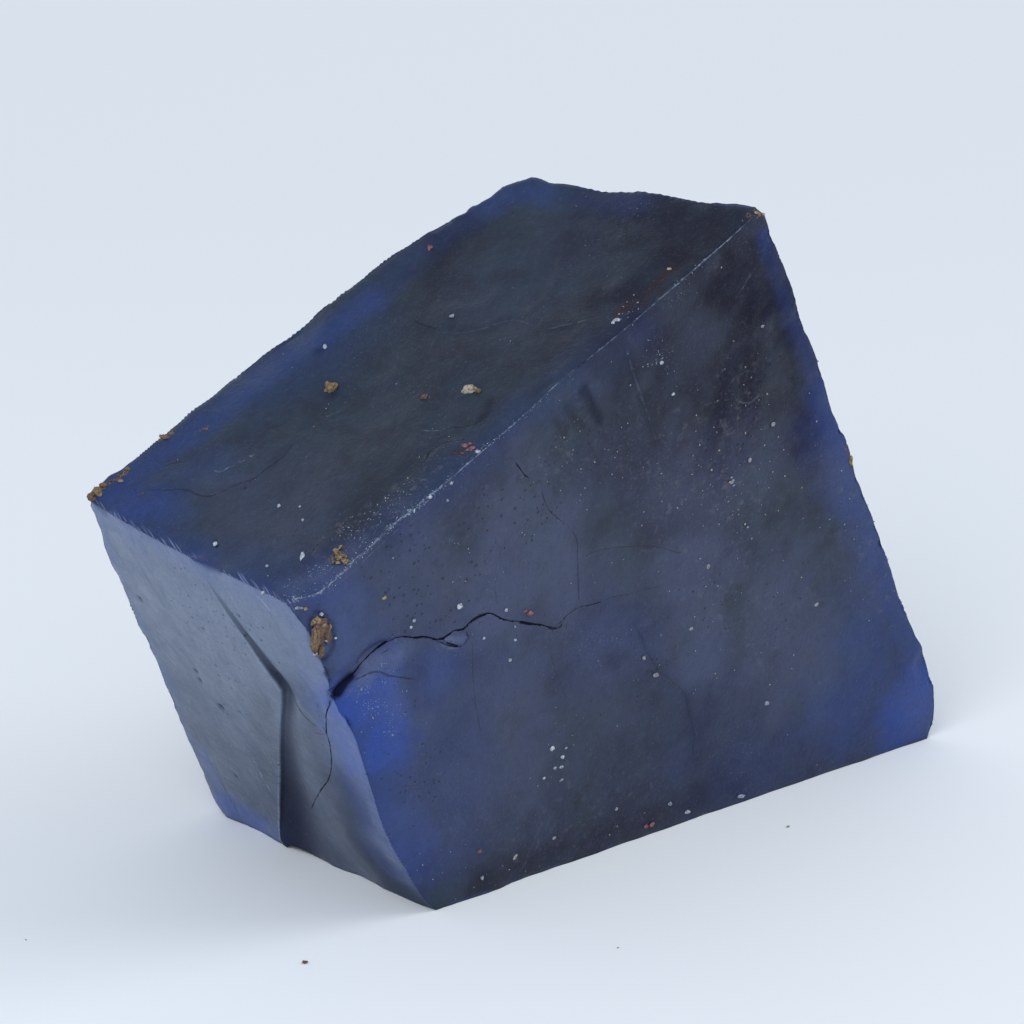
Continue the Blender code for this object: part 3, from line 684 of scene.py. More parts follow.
class Prow:
    """The prow's edge at its mend, as the lower of the two faces beside it, each read round the place."""

    def __init__(self, points, tris, labels, sound, middle):
        _, self.reach, outer = PROW_MEND
        out = unit(unit(np.array(SIDES["front"])) + unit(np.array(SIDES["near"])))
        across = unit(np.cross(out, (0.0, 0.0, 1.0)))
        self.out, self.middle = out, middle
        self.axes = np.stack((across, np.cross(out, across), out), 1)
        self.sides = np.array([SIDE_NAMES.index("front"), SIDE_NAMES.index("near")])
        faces, away = self.seen(points[tris].mean(1))
        sound = sound & (away > self.reach * PROW_CORE) & (away < outer)
        self.sheets = []
        for side in self.sides:
            pick = sound & (labels == side)
            self.sheets.append(np.linalg.lstsq(sheet_terms(faces[pick, :2]), faces[pick, 2], rcond=None)[0])
        self.sheets = np.stack(self.sheets, 1)

    def seen(self, places):
        """Places in the prow's own frame, and how far they are from its middle."""
        spots = (places - self.middle) @ self.axes
        return spots, np.linalg.norm(spots, axis=1)

    def relabelled(self, points, tris, labels, reach):
        """The labels with those near the mend set by the face that is the lower one there."""
        faces, away = self.seen(points[tris].mean(1))
        inside = away < reach
        labels[inside] = self.sides[(sheet_terms(faces[inside, :2]) @ self.sheets).argmin(1)]
        return labels

    def cut(self, points):
        """The points with the prow's edge cut anew."""
        spots, apart = self.seen(points)
        close = apart < self.reach
        lower = (sheet_terms(spots[close, :2]) @ self.sheets).min(1)
        share = 1 - ramp(apart[close], self.reach * PROW_CORE, self.reach)
        points[close] += np.outer((lower - spots[close, 2]) * share, self.out)
        return points


def kept_standing(points, moved):
    """The moved points, with what stood on the ground still on it and the rest above it."""
    moved[:, 2] = np.where(points[:, 2] < GROUND, points[:, 2], np.maximum(moved[:, 2], LEAST_HEIGHT))
    return moved


def shifted(points, surface):
    """The points with the outline drawn out or in."""
    moved = points.copy()
    for shift, reach, *path in SHIFTS:
        close, away, *_ = to_path(points, laid(surface, path), reach)
        moved[close] += np.outer(1 - ramp(away, 0, reach), shift)
    return kept_standing(points, moved)


def cell_sizes(points, labels_at, fine, grooves):
    """How long the edges at each point may be."""
    size = SIDE_CELLS[labels_at]
    size = FINE_CELL + (size - FINE_CELL) * ramp(distance_to(fine, points), *FINE_REACH)
    return GROOVE_CELL + (size - GROOVE_CELL) * ramp(distance_to(grooves, points), *GROOVE_REACH)


def point_labels(count, tris, labels):
    """A side for each point: the one whose cells are finest."""
    best = np.full(count, len(SIDE_NAMES) - 1)
    for label in np.argsort(-SIDE_CELLS, kind="stable"):
        best[tris[labels == label].ravel()] = label
    return best


def block_edge_points(points, tris, labels):
    """Points along each of the block's edges."""
    edges, sharp, two = sharp_edges(points, tris)
    edges = edges[sharp & (labels[two[:, 0]] != labels[two[:, 1]])]
    start, end = points[edges[:, 0]], points[edges[:, 1]]
    middle = (start + end) / 2
    run = unit(end - start)
    away = []
    for corners in BLOCK_EDGES.values():
        a, b = (np.array(CORNERS[c]) for c in corners)
        line = (b - a) / np.linalg.norm(b - a)
        t = np.clip((middle - a) @ line, 0, np.linalg.norm(b - a))
        turned = EDGE_TURN * (1 - np.abs(run @ line))
        away.append(np.linalg.norm(middle - a - t[:, None] * line, axis=1) + turned)
    away = np.array(away)
    found = {}
    for number, name in enumerate(BLOCK_EDGES):
        mine = (away.argmin(0) == number) & (away[number] < EDGE_BOW)
        places = []
        for a, b in zip(start[mine], end[mine]):
            count = max(int(np.linalg.norm(b - a) / EDGE_STEP), 1)
            places += [a + (b - a) * i / count for i in range(count + 1)]
        found[name] = np.array(places)
    return found


def finer_block():
    """The solid cut finer, worn smooth and drawn to its outline: points, triangles and their sides."""
    points, tris = welded(SOLID.data)
    labels = classify(points, tris)
    surface = BVHTree.FromPolygons(points.tolist(), tris.tolist())
    marks = [(laid(surface, path, FINE_PIECES), *rest) for path, *rest in OLD_MARKS]
    middles = points[tris].mean(1)
    for line, skip, side, reach, _ in marks:
        labels[to_path(middles, line[skip:], reach)[0]] = SIDE_NAMES.index(side)
    edges = block_edge_points(points, tris, labels)
    pits = [on_stone(surface, *row[2]) for row in PITS]
    fine = tree_of(np.concatenate([edges[name] for name in FINE_EDGES] + [pits]))
    carved = tree_of(np.concatenate([laid(surface, path, FINE_PIECES)
                                     for path in (MAIN_CRACK, PLATE_LINE, SECOND_CRACK)]))
    for _ in range(SPLIT_ROUNDS):
        longest = cell_sizes(points, point_labels(len(points), tris, labels), fine, carved)
        points, tris, labels, again = split(points, tris, labels, longest)
        if not again:
            break
    mended = np.zeros(len(points), bool)
    for line, *_, reach in marks:
        mended[to_path(points, line, reach)[0]] = True
    middle = on_stone(surface, *PROW_MEND[0])
    prow = Prow(points, tris, labels, ~mended[tris].any(1), middle)
    labels = prow.relabelled(points, tris, labels, prow.reach)
    core = np.linalg.norm(points - middle, axis=1) < prow.reach * PROW_CORE
    foot = np.linalg.norm(points - on_stone(surface, *BASE_MEND[0]), axis=1) < BASE_MEND[1]
    points = smoothed(points, tris, labels, mended | core, core, foot)
    prow = Prow(points, tris, labels, True, middle)
    labels = prow.relabelled(points, tris, labels, prow.reach)
    return shifted(prow.cut(points), surface), tris, labels


def field(points, surface, seed, wobble, shapes):
    """How strongly each point lies in some soft-edged patches, from 0 to 1."""
    total = np.zeros(len(points))
    shift = layered(points, PATCH_GRAIN, seed)
    for strength, reach, *path in shapes:
        close, away, *_ = to_path(points, laid(surface, path, 3), reach * PATCH_LIMIT)
        level = strength * (1 - ramp(away / reach + wobble * shift[close], 0.0, PATCH_FADE))
        total[close] = np.maximum(total[close], level)
    return total


def line_field(name, points, normals, surface, lines):
    """What the material reads of some lines.

    That is the signed distance to the nearest one, its half width and its depth, in mm, and how much of it
    shows.
    """
    away = np.full(len(points), 0.5)
    half = np.full(len(points), 0.05)
    depth = np.zeros(len(points))
    shows = np.zeros(len(points))
    for strength, width, deep, *path in lines:
        close, left, share = beside(points, normals, laid(surface, path), LINE_REACH)
        nearer = np.abs(left) < np.abs(away[close])
        pick = close[nearer]
        away[pick] = left[nearer]
        half[pick] = width
        depth[pick] = deep
        level = tapered(share, LINE_TAPER, strength) * (1 - ramp(np.abs(left), *LINE_FADE))
        shows[pick] = level[nearer]
    return {name: away, name + "_half": half, name + "_deep": depth, name + "_on": shows}


def plate_edge(points, normals, surface):
    """What is known of the sawn plate's edge at each point.

    That is how far to its right the point lies, how far its shade reaches, how deep it is and how much of it
    shows.
    """
    line = laid(surface, PLATE_LINE, FINE_PIECES)
    at = np.concatenate(((0,), np.cumsum(np.linalg.norm(np.diff(line, axis=0), axis=1))))
    at = at[::FINE_PIECES] / at[-1]
    close, left, share = beside(points, normals, line, PLATE_REACH)
    away = np.full(len(points), -1.0)
    away[close] = left
    found = []
    for column, elsewhere in enumerate((0.0, 0.1, 0.0)):
        values = np.full(len(points), elsewhere)
        values[close] = np.interp(share, at, [row[column] for row in PLATE_EDGE])
        found.append(values)
    strength, reach, depth = found
    facing = ramp(normals[close] @ unit(np.array(SIDES["near"])), *PLATE_FACING)
    strength[close] *= (1 - ramp(np.abs(left), *PLATE_FADE)) * facing
    return away, reach, depth, strength


def relief(points, rim, arc, hair, weight):
    """How far the rough surface stands out of the smooth one."""
    high = sum(height * layered(points, grain, seed) for height, grain, seed in RELIEF)
    high *= sum((more * weight[side] for side, more in SIDE_RELIEF.items()), COMMON_RELIEF)
    shell = 1 - np.abs(layered(points * (1.0, 0.8, 1.0), SHELL_GRAIN, seed=47, layers=2))
    high += weight["top"] * SHELL_TOP * (ramp(shell, 0.55, 1.0) - SHELL_MIDDLE)
    high += (weight["back"] + weight["far"]) * SHELL_HIDDEN * (ramp(shell, 0.5, 1.0) - SHELL_MIDDLE)
    flat = np.zeros(len(points))
    high += weight["near"] * SAW_MARK * noise(np.stack((hair, flat, flat), 1), SAW_GRAIN, seed=5)
    worn = 1 - ramp(rim, 0.0, WEAR_REACH)
    high -= worn * (EDGE_WEAR + WEAR_NOISE * noise(points, 0.5, seed=61))
    chips = ramp(noise(points, CHIP_GRAIN, seed=67), 0.25, 0.6) * (1 - ramp(rim, *CHIP_REACH))
    high -= CHIP * chips
    nick = ramp(noise(np.stack((hair, flat, arc), 1), NICK_GRAIN, seed=71), 0.0, 0.6)
    nick *= ramp(noise(points, 1.7, seed=73), -0.5, 0.3)
    high -= NICK * nick * (1 - ramp(arc, *NICK_REACH))
    return high


def side_weights(normals):
    """How much each point belongs to each side."""
    return {name: ramp(normals @ unit(np.array(way)), *SIDE_BLEND) for name, way in SIDES.items()}


def stone_skin():
    """The stone's skin: points in mm, triangles, the fields that its material reads and its surface."""
    points, tris, labels = finer_block()
    surface = BVHTree.FromPolygons(points.tolist(), tris.tolist())
    normals = point_normals(points, tris)
    weight = side_weights(normals)
    edges = block_edge_points(points, tris, labels)
    rim = distance_to(tree_of(np.concatenate(list(edges.values()))), points)
    arc = distance_to(tree_of(edges["arc"]), points)
    ridge = distance_to(tree_of(edges["ridge"]), points)
    hair_axis = unit(np.cross(on_stone(surface, 200, 640) - on_stone(surface, 170, 590),
                              on_stone(surface, 200, 515) - on_stone(surface, 230, 560)))
    hair = points @ hair_axis
    patch = {name: field(points, surface, *kind) for name, kind in PATCHES.items()}

    high = relief(points, rim, arc, hair, weight)
    high += LUMP * patch["lumps"] * layered(points, LUMP_GRAIN, seed=253)
    step, step_reach, step_deep, step_on = plate_edge(points, normals, surface)
    slope = 1 - ramp(step, STEP_FALL[1], np.maximum(step_reach, STEP_RUN))
    high -= step_deep * ramp(step, *STEP_FALL) * slope
    for tall, reach, *path in LEDGES:
        close, left, share = beside(points, normals, laid(surface, path), reach)
        wander = left + LEDGE_FALL * noise(points[close], 0.9, seed=91)
        rise = tall * tapered(share, LEDGE_TAPER) * (ramp(wander, -LEDGE_FALL, LEDGE_FALL) - 0.5)
        high[close] += rise * (1 - ramp(np.abs(left), LEDGE_TOP, reach))
    for (_, half, deep, *path), side in zip(CRACKS, ("front", "near")):
        close, left, share = beside(points, normals, laid(surface, path, FINE_PIECES), CRACK_REACH)
        mouth = (1 - ramp(share, *MOUTH)) * ramp(weight[side][close], *MOUTH_FACING)
        wide = half * (1.5 + 0.7 * noise(points[close], 0.6, seed=93)) + MOUTH_WIDTH * mouth
        cut = (deep + MOUTH_DEPTH * mouth) * np.maximum(1 - np.abs(left) / wide, 0)
        high[close] -= cut * ramp(1 - share, 0, CRACK_TAPER)
    tree = tree_of(points)
    # Pits are dented, and their hollows get painted shade.
    for radius, depth, pixel in PITS:
        for _, i, d in tree.find_range(on_stone(surface, *pixel), radius * PIT_SPREAD):
            dent = max(1 - (d / (radius * PIT_SPREAD)) ** 2, 0) ** 2
            high[i] -= depth * dent
            patch["shade_and_dark"][i] = max(patch["shade_and_dark"][i], PIT_SHADE * dent)
    high *= ramp(points[:, 2], 0.0, FOOT_FADE)
    ground = points[:, 2] < GROUND
    moved = points + normals * high[:, None]
    outward = normals[ground] * (1, 1, 0)
    moved[ground] = points[ground] + outward * FOOT_WANDER * noise(points[ground], 1.0, seed=83)[:, None]
    moved = kept_standing(points, moved)

    # What the camera can't see gets its marks from noise alone.
    hidden = 1 - ramp(normals @ CAMERA_BACK, *HIDDEN_FACING)
    # Painted glow along the hidden edges, where light would shine through the stone.
    rim_painted_light = 0.55 * (1 - ramp(rim + 0.9 * layered(points, 3.0, seed=221, layers=5), 0.0, 3.2))
    guessed = {
        "painted_glow": hidden * rim_painted_light,
        "haze": hidden * 0.5 * ramp(layered(points, 5, seed=263, layers=6), 0.0, 0.9),
        "warm": hidden * (0.7 * ramp(layered(points, 6, seed=233, layers=6), -0.2, 0.9)),
        "fleck": hidden * 0.6,
        "pitted": hidden * 0.5,
    }
    for name, level in guessed.items():
        patch[name] = np.maximum(patch[name], level)
    del patch["lumps"]
    fields = {
        **patch,
        "top": weight["top"],
        "near": weight["near"] * (1 - patch["dull"]),
        "ridge": np.minimum(ridge, 1.0),
        "arc": np.minimum(arc, 2.0),
        "hair": hair,
        "tall": points[:, 2],
        "step": step, "step_reach": step_reach, "step_on": step_on,
    }
    for name, lines in (("crack", CRACKS), ("fine", FINE_LINES), ("scratch", SCRATCHES)):
        fields.update(line_field(name, points, normals, surface, lines))
    del fields["scratch_deep"]  # scratches have no depth
    return moved, tris, fields, surface


# ------------------------------------------------------------------------------------------------------------
# Crumbs and dust.

# The palest crumbs, at hues near 0, are partly painted glints, as along the worn ridge.
# Single crumbs: (hue, half length, half width and height in mm, turn in degrees, pixel).
GRAINS = (
    (0.66, 0.34, 0.3, 0.3, 20, (331, 388)), (0.8, 0.22, 0.2, 0.12, 0, (424, 397)),
    (0.36, 0.42, 0.3, 0.24, -5, (470, 390)), (0.7, 0.2, 0.16, 0.14, 0, (478, 391)),
    (0.96, 0.22, 0.15, 0.1, -15, (465, 446)), (0.9, 0.17, 0.15, 0.1, 30, (472, 449)),
    (0.05, 0.13, 0.11, 0.1, 0, (478, 452)), (0.8, 0.14, 0.1, 0.08, 0, (463, 454)),
    (0.94, 0.12, 0.1, 0.08, 0, (470, 444)), (0.68, 0.11, 0.1, 0.08, 0, (468, 450)),
    (0.82, 0.86, 0.5, 0.15, 84, (319, 635)), (0.71, 0.62, 0.27, 0.2, 82, (315, 638)),
    (0.6, 0.3, 0.26, 0.19, 60, (316, 621)), (0.79, 0.5, 0.26, 0.16, 95, (327, 635)),
    (0.76, 0.32, 0.2, 0.17, 80, (321, 651)), (0.52, 0.14, 0.1, 0.22, 40, (322, 625)),
    (0.58, 0.3, 0.07, 0.24, 86, (313, 634)), (0.56, 0.2, 0.06, 0.21, 70, (329, 627)),
    (0.03, 0.11, 0.07, 0.18, 40, (321, 614)), (0.03, 0.07, 0.06, 0.22, 0, (325, 640)),
    (0.05, 0.13, 0.12, 0.17, 0, (316, 653)), (0.08, 0.1, 0.06, 0.1, 0, (335, 638)),
    (0.78, 0.3, 0.26, 0.22, 0, (92, 497)), (0.68, 0.36, 0.26, 0.12, -30, (97, 492)),
    (0.05, 0.28, 0.12, 0.06, 80, (302, 556)), (0.0, 0.13, 0.12, 0.08, 0, (215, 544)),
    (0.05, 0.14, 0.09, 0.08, 90, (279, 506)), (0.1, 0.1, 0.09, 0.06, 0, (300, 507)),
    (0.1, 0.09, 0.09, 0.06, 0, (303, 520)), (0.05, 0.09, 0.08, 0.06, 0, (267, 566)),
    (0.0, 0.2, 0.08, 0.07, 80, (263, 593)), (0.14, 0.24, 0.12, 0.07, -10, (299, 608)),
    (0.5, 0.12, 0.08, 0.06, 0, (306, 609)), (0.1, 0.16, 0.14, 0.1, 0, (325, 347)),
    (0.25, 0.14, 0.12, 0.08, 0, (452, 316)), (0.94, 0.19, 0.17, 0.12, 0, (430, 248)),
    (0.46, 0.16, 0.1, 0.06, 0, (757, 213)), (0.5, 0.12, 0.09, 0.06, 0, (763, 214)),
    (0.05, 0.24, 0.13, 0.08, -10, (617, 320)), (0.02, 0.1, 0.09, 0.08, 0, (613, 323)),
    (0.05, 0.15, 0.13, 0.1, 0, (661, 363)), (0.05, 0.1, 0.1, 0.08, 0, (673, 394)),
    (0.15, 0.12, 0.1, 0.06, 0, (629, 278)), (0.25, 0.08, 0.08, 0.05, 0, (646, 275)),
    (0.42, 0.14, 0.1, 0.08, -20, (669, 269)), (0.5, 0.16, 0.1, 0.06, 0, (384, 598)),
    (0.0, 0.2, 0.17, 0.12, 0, (460, 606)), (0.02, 0.12, 0.1, 0.08, 0, (506, 610)),
    (0.96, 0.2, 0.15, 0.12, -20, (530, 613)), (0.9, 0.12, 0.1, 0.06, 0, (525, 611)),
    (0.1, 0.12, 0.1, 0.08, 60, (414, 620)), (0.1, 0.09, 0.09, 0.06, 0, (411, 627)),
    (0.15, 0.08, 0.07, 0.05, 0, (515, 627)), (0.1, 0.09, 0.09, 0.06, 0, (484, 638)),
    (0.1, 0.09, 0.08, 0.06, 0, (515, 640)), (0.05, 0.1, 0.1, 0.07, 0, (510, 660)),
    (0.0, 0.17, 0.16, 0.12, 0, (552, 748)), (0.05, 0.12, 0.12, 0.08, 0, (562, 757)),
    (0.12, 0.12, 0.1, 0.06, 0, (555, 768)), (0.15, 0.16, 0.09, 0.06, 0, (561, 767)),
    (0.15, 0.09, 0.08, 0.05, 0, (544, 778)), (0.2, 0.13, 0.1, 0.05, 0, (561, 780)),
    (0.2, 0.1, 0.08, 0.05, 0, (566, 748)), (0.98, 0.22, 0.15, 0.12, 0, (652, 824)),
    (0.9, 0.16, 0.1, 0.08, 0, (646, 826)), (0.16, 0.26, 0.09, 0.08, -15, (741, 796)),
    (0.1, 0.2, 0.1, 0.1, -15, (687, 812)), (0.18, 0.15, 0.13, 0.08, 0, (670, 804)),
    (0.97, 0.14, 0.12, 0.1, 0, (479, 851)), (0.2, 0.12, 0.11, 0.08, 0, (482, 878)),
    (0.3, 0.22, 0.13, 0.06, 30, (515, 857)), (0.3, 0.12, 0.1, 0.05, 0, (554, 838)),
    (0.25, 0.12, 0.1, 0.06, 0, (616, 809)), (0.2, 0.15, 0.13, 0.05, 0, (767, 703)),
    (0.26, 0.2, 0.15, 0.05, 0, (656, 675)), (0.22, 0.15, 0.12, 0.05, 0, (691, 629)),
    (0.28, 0.17, 0.11, 0.05, 80, (708, 567)), (0.25, 0.14, 0.12, 0.06, 0, (644, 658)),
    (0.26, 0.17, 0.12, 0.05, 0, (816, 605)), (0.55, 0.16, 0.12, 0.08, 0, (120, 481)),
    (0.6, 0.3, 0.2, 0.12, -25, (98, 490)), (0.72, 0.24, 0.16, 0.12, 0, (104, 485)),
    (0.72, 0.34, 0.14, 0.12, -30, (164, 437)), (0.7, 0.18, 0.1, 0.08, -30, (128, 469)),
    (0.74, 0.16, 0.12, 0.08, 0, (206, 429)), (0.3, 0.12, 0.12, 0.08, 0, (762, 326)),
    (0.26, 0.15, 0.12, 0.08, 0, (773, 424)), (0.26, 0.18, 0.14, 0.05, 20, (732, 482)),
    (0.28, 0.15, 0.11, 0.05, 40, (750, 460)), (0.62, 0.12, 0.28, 0.08, 0, (851, 460)),
    (0.0, 0.12, 0.11, 0.08, 0, (430, 497)), (0.0, 0.1, 0.09, 0.08, 0, (451, 483)),
    (0.15, 0.1, 0.09, 0.06, 0, (447, 500)), (0.1, 0.12, 0.06, 0.06, 80, (414, 511)),
)
# Scattered crumbs: (how many, hues, largest half length in mm, spread in pixels, then the path's pixels).
DUSTINGS = (
    (46, (0.5, 0.72), 0.16, 3.2, (338, 552), (342, 558)), (110, (0.0, 0.2), 0.045, 2.2, *WORN_RIDGE),
    (40, (0.05, 0.2), 0.035, 1.5, (451, 481), (478, 452), (500, 436), (541, 402), (575, 370)),
    (24, (0.1, 0.2), 0.04, 1.5, (600, 348), (638, 316), (669, 291), (708, 257), (744, 220)),
    (40, (0.1, 0.45), 0.06, 7, (335, 548), (365, 520), (400, 492), (425, 474)),
    (20, (0.05, 0.3), 0.05, 9, (300, 580), (325, 570), (345, 550)),
    (30, (0.05, 0.3), 0.07, 7, (615, 318), (640, 298), (668, 270)),
    (26, (0.0, 0.3), 0.06, 6, (690, 292), (705, 262), (718, 262)),
    (36, (0.1, 0.3), 0.07, 10, (640, 368), (660, 358), (668, 350)),
    (60, (0.15, 0.4), 0.06, 30, (590, 440), (560, 460), (600, 480)),
    (90, (0.2, 0.45), 0.08, 34, (752, 370), (745, 420), (720, 470), (740, 530)),
    (40, (0.2, 0.4), 0.09, 26, (735, 440), (720, 500), (700, 560)),
    (70, (0.15, 0.4), 0.06, 60, (600, 560), (680, 620), (760, 640)),
    (50, (0.05, 0.3), 0.05, 34, (440, 560), (520, 540)),
    (40, (0.05, 0.3), 0.05, 16, (350, 730), (390, 700), (400, 720)),
    (26, (0.05, 0.3), 0.05, 14, (430, 860), (480, 870), (520, 860)),
    (16, (0.3, 0.95), 0.07, 8, (500, 880), (560, 850), (640, 828), (700, 806)),
    (60, (0.05, 0.35), 0.045, 60, (250, 500), (330, 440), (420, 420)),
    (40, (0.1, 0.4), 0.05, 45, (560, 260), (620, 260)), (10, (0.9, 1.0), 0.05, 60, (520, 500), (420, 700)),
    (24, (0.1, 0.3), 0.07, 30, (860, 520), (880, 620)), (20, (0.1, 0.3), 0.05, 22, (560, 770), (600, 720)),
)
# Specks on the table: (hue, half length in mm, pixel).
TABLE_CRUMBS = (
    (0.8, 0.16, (305, 963)), (0.5, 0.1, (788, 827)), (0.6, 0.06, (26, 940)), (0.5, 0.07, (618, 948)),
)
CRUMB_SUNK = 0.35  # the share of a crumb's height that is below the surface
SMALL_CRUMB, LARGE_CRUMB = 0.09, 0.25  # half lengths in mm from which balls are made finer
CRUMB_SEED, SCATTER_SEED = 19, 100


class Crumbs:
    """Crumbs gathered into one mesh."""

    def __init__(self):
        self.points, self.tris, self.hues, self.count = [], [], [], 0
        self.balls = {}

    def ball(self, level):
        """The corners and triangles of a round ball."""
        if level not in self.balls:
            made = bmesh.new()
            bmesh.ops.create_icosphere(made, subdivisions=level, radius=1.0)
            corners = np.array([v.co for v in made.verts])
            faces = np.array([[v.index for v in f.verts] for f in made.faces])
            made.free()
            self.balls[level] = corners, faces
        return self.balls[level]

    def add(self, place, up, hue, length, width, tall, turn, seed):
        """One crumb of the given half length and half width, sunk a little into the surface."""
        corners, faces = self.ball(1 if length < SMALL_CRUMB else 2 if length < LARGE_CRUMB else 4)
        side = unit(CAMERA_RIGHT - up * (CAMERA_RIGHT @ up))
        ahead = np.cross(up, side)
        angle = math.radians(turn)
        u = side * math.cos(angle) + ahead * math.sin(angle)
        v = np.cross(up, u)
        rough = 1 + 0.4 * noise(corners + seed * 3.7, 0.9, seed)
        rough += 0.2 * noise(corners + seed * 1.3, 0.35, seed + 1)
        corners = corners * rough[:, None]
        middle = place + up * tall * (1 - 2 * CRUMB_SUNK) * 0.5
        spots = middle + np.outer(corners[:, 0] * length, u) + np.outer(corners[:, 1] * width, v)
        spots += np.outer(corners[:, 2] * tall, up)
        self.points.append(spots)
        self.tris.append(faces + self.count)
        self.hues.append(np.full(len(spots), hue))
        self.count += len(spots)

    def stick(self, surface, pixel, *shape):
        """One crumb on the stone."""
        place = on_stone(surface, *pixel)
        self.add(place, np.array(surface.find_nearest(Vector(place))[1]), *shape)

    def joined(self):
        """All crumbs as points, triangles and the field that their material reads."""
        return np.concatenate(self.points), np.concatenate(self.tris), {"hue": np.concatenate(self.hues)}


def stone_crumbs(surface):
    """The crumbs and mineral grains that sit on the stone."""
    crumbs = Crumbs()
    rng = np.random.default_rng(CRUMB_SEED)
    for number, (*shape, pixel) in enumerate(GRAINS):
        crumbs.stick(surface, pixel, *shape, number)
    for count, (low, high), largest, spread, *path in DUSTINGS:
        line = smooth_path([(x, y, 0) for x, y in path])[:, :2]
        for number in range(count):
            pixel = line[rng.integers(len(line))] + rng.normal(0, spread, 2)
            size = largest * rng.uniform(0.4, 1.0) ** 1.5
            hue = rng.uniform(low, high)
            width = size * rng.uniform(0.5, 1.0)
            turn = rng.uniform(0, 180)
            crumbs.stick(surface, pixel, hue, size, width, size * 0.6, turn, number + SCATTER_SEED)
    points, tris, fields = crumbs.joined()
    points[:, 2] = np.maximum(points[:, 2], 0.01)
    return points, tris, fields


def table_crumbs():
    """Specks of dust that lie on the table."""
    crumbs = Crumbs()
    up = np.array((0.0, 0.0, 1.0))
    for number, (hue, size, pixel) in enumerate(TABLE_CRUMBS):
        ray = picture_ray(*pixel)
        place = CAMERA_AT - ray * (CAMERA_AT[2] / ray[2])
        crumbs.add(place + (0, 0, size * 0.3), up, hue, size, size * 0.7, size * 0.5, 20, number)
    return crumbs.joined()


# ------------------------------------------------------------------------------------------------------------
# Materials.

SLATE = (0.014, 0.026, 0.042, 1)
INDIGO = (0.014, 0.022, 0.054, 1)
# Painted glow colour, for light shining through the stone.
PAINTED_GLOW_COBALT = (0.010, 0.045, 0.245, 1)
UMBER = (0.005, 0.004, 0.016, 1)
MIST = (0.078, 0.100, 0.195, 1)
FLECK = (0.110, 0.105, 0.135, 1)
# The sawn end's pale tones, partly its ground finish and partly painted sheen.
SAWN_SHEEN_HIGH = (0.145, 0.185, 0.275, 1)
SAWN_SHEEN_LOW = (0.070, 0.094, 0.150, 1)
# Painted glow colour on the sawn end.
PAINTED_GLOW_LILAC = (0.085, 0.130, 0.350, 1)
# Painted shade colour for hollows, pits and the plate's step.
SHADE_NAVY = (0.003, 0.005, 0.022, 1)
DRIED_BLOOD = (0.020, 0.008, 0.013, 1)
CRUST = (0.200, 0.125, 0.060, 1)
PALE = (0.30, 0.38, 0.50, 1)
HAIR = (0.150, 0.185, 0.330, 1)
BLACK = (0.002, 0.003, 0.010, 1)
PAPER = ((0.835, 0.875, 0.91, 1), (0.855, 0.89, 0.925, 1))
# The paper's painted shade away from the camera.
PAPER_FAR_SHADE = (0.745, 0.778, 0.806, 1)
# The colours of crumbs, by hue from 0 to 1.
HUES = (
    (0.0, (0.52, 0.57, 0.63, 1)), (0.2, (0.22, 0.26, 0.36, 1)), (0.4, (0.42, 0.36, 0.26, 1)),
    (0.6, (0.25, 0.175, 0.085, 1)), (0.8, (0.095, 0.052, 0.030, 1)), (1.0, (0.34, 0.12, 0.15, 1)),
)

# The grains of the noises in the stone's material, in mm.
CLOUD_GRAIN = 7.0
MOTTLE_GRAIN = 1.6
ROUGH_GRAIN = 0.33
FINE_GRAIN = 0.25
DUST_GRAIN = 0.09
HAIR_GRAIN = 0.11
STRIPE_GRAIN = 0.22
PIT_CELL = 0.33


class Value:
    """A value in a material, which Python's own signs join into new ones."""

    def __init__(self, nodes, socket):
        self.nodes, self.socket = nodes, socket

    def __mul__(self, other):
        return self.nodes.maths("MULTIPLY", self, other)

    def __sub__(self, other):
        return self.nodes.maths("SUBTRACT", self, other)

    def __rsub__(self, other):
        return self.nodes.maths("SUBTRACT", other, self)

    def __truediv__(self, other):
        return self.nodes.maths("DIVIDE", self, other)

    def __abs__(self):
        return self.nodes.maths("ABSOLUTE", self)


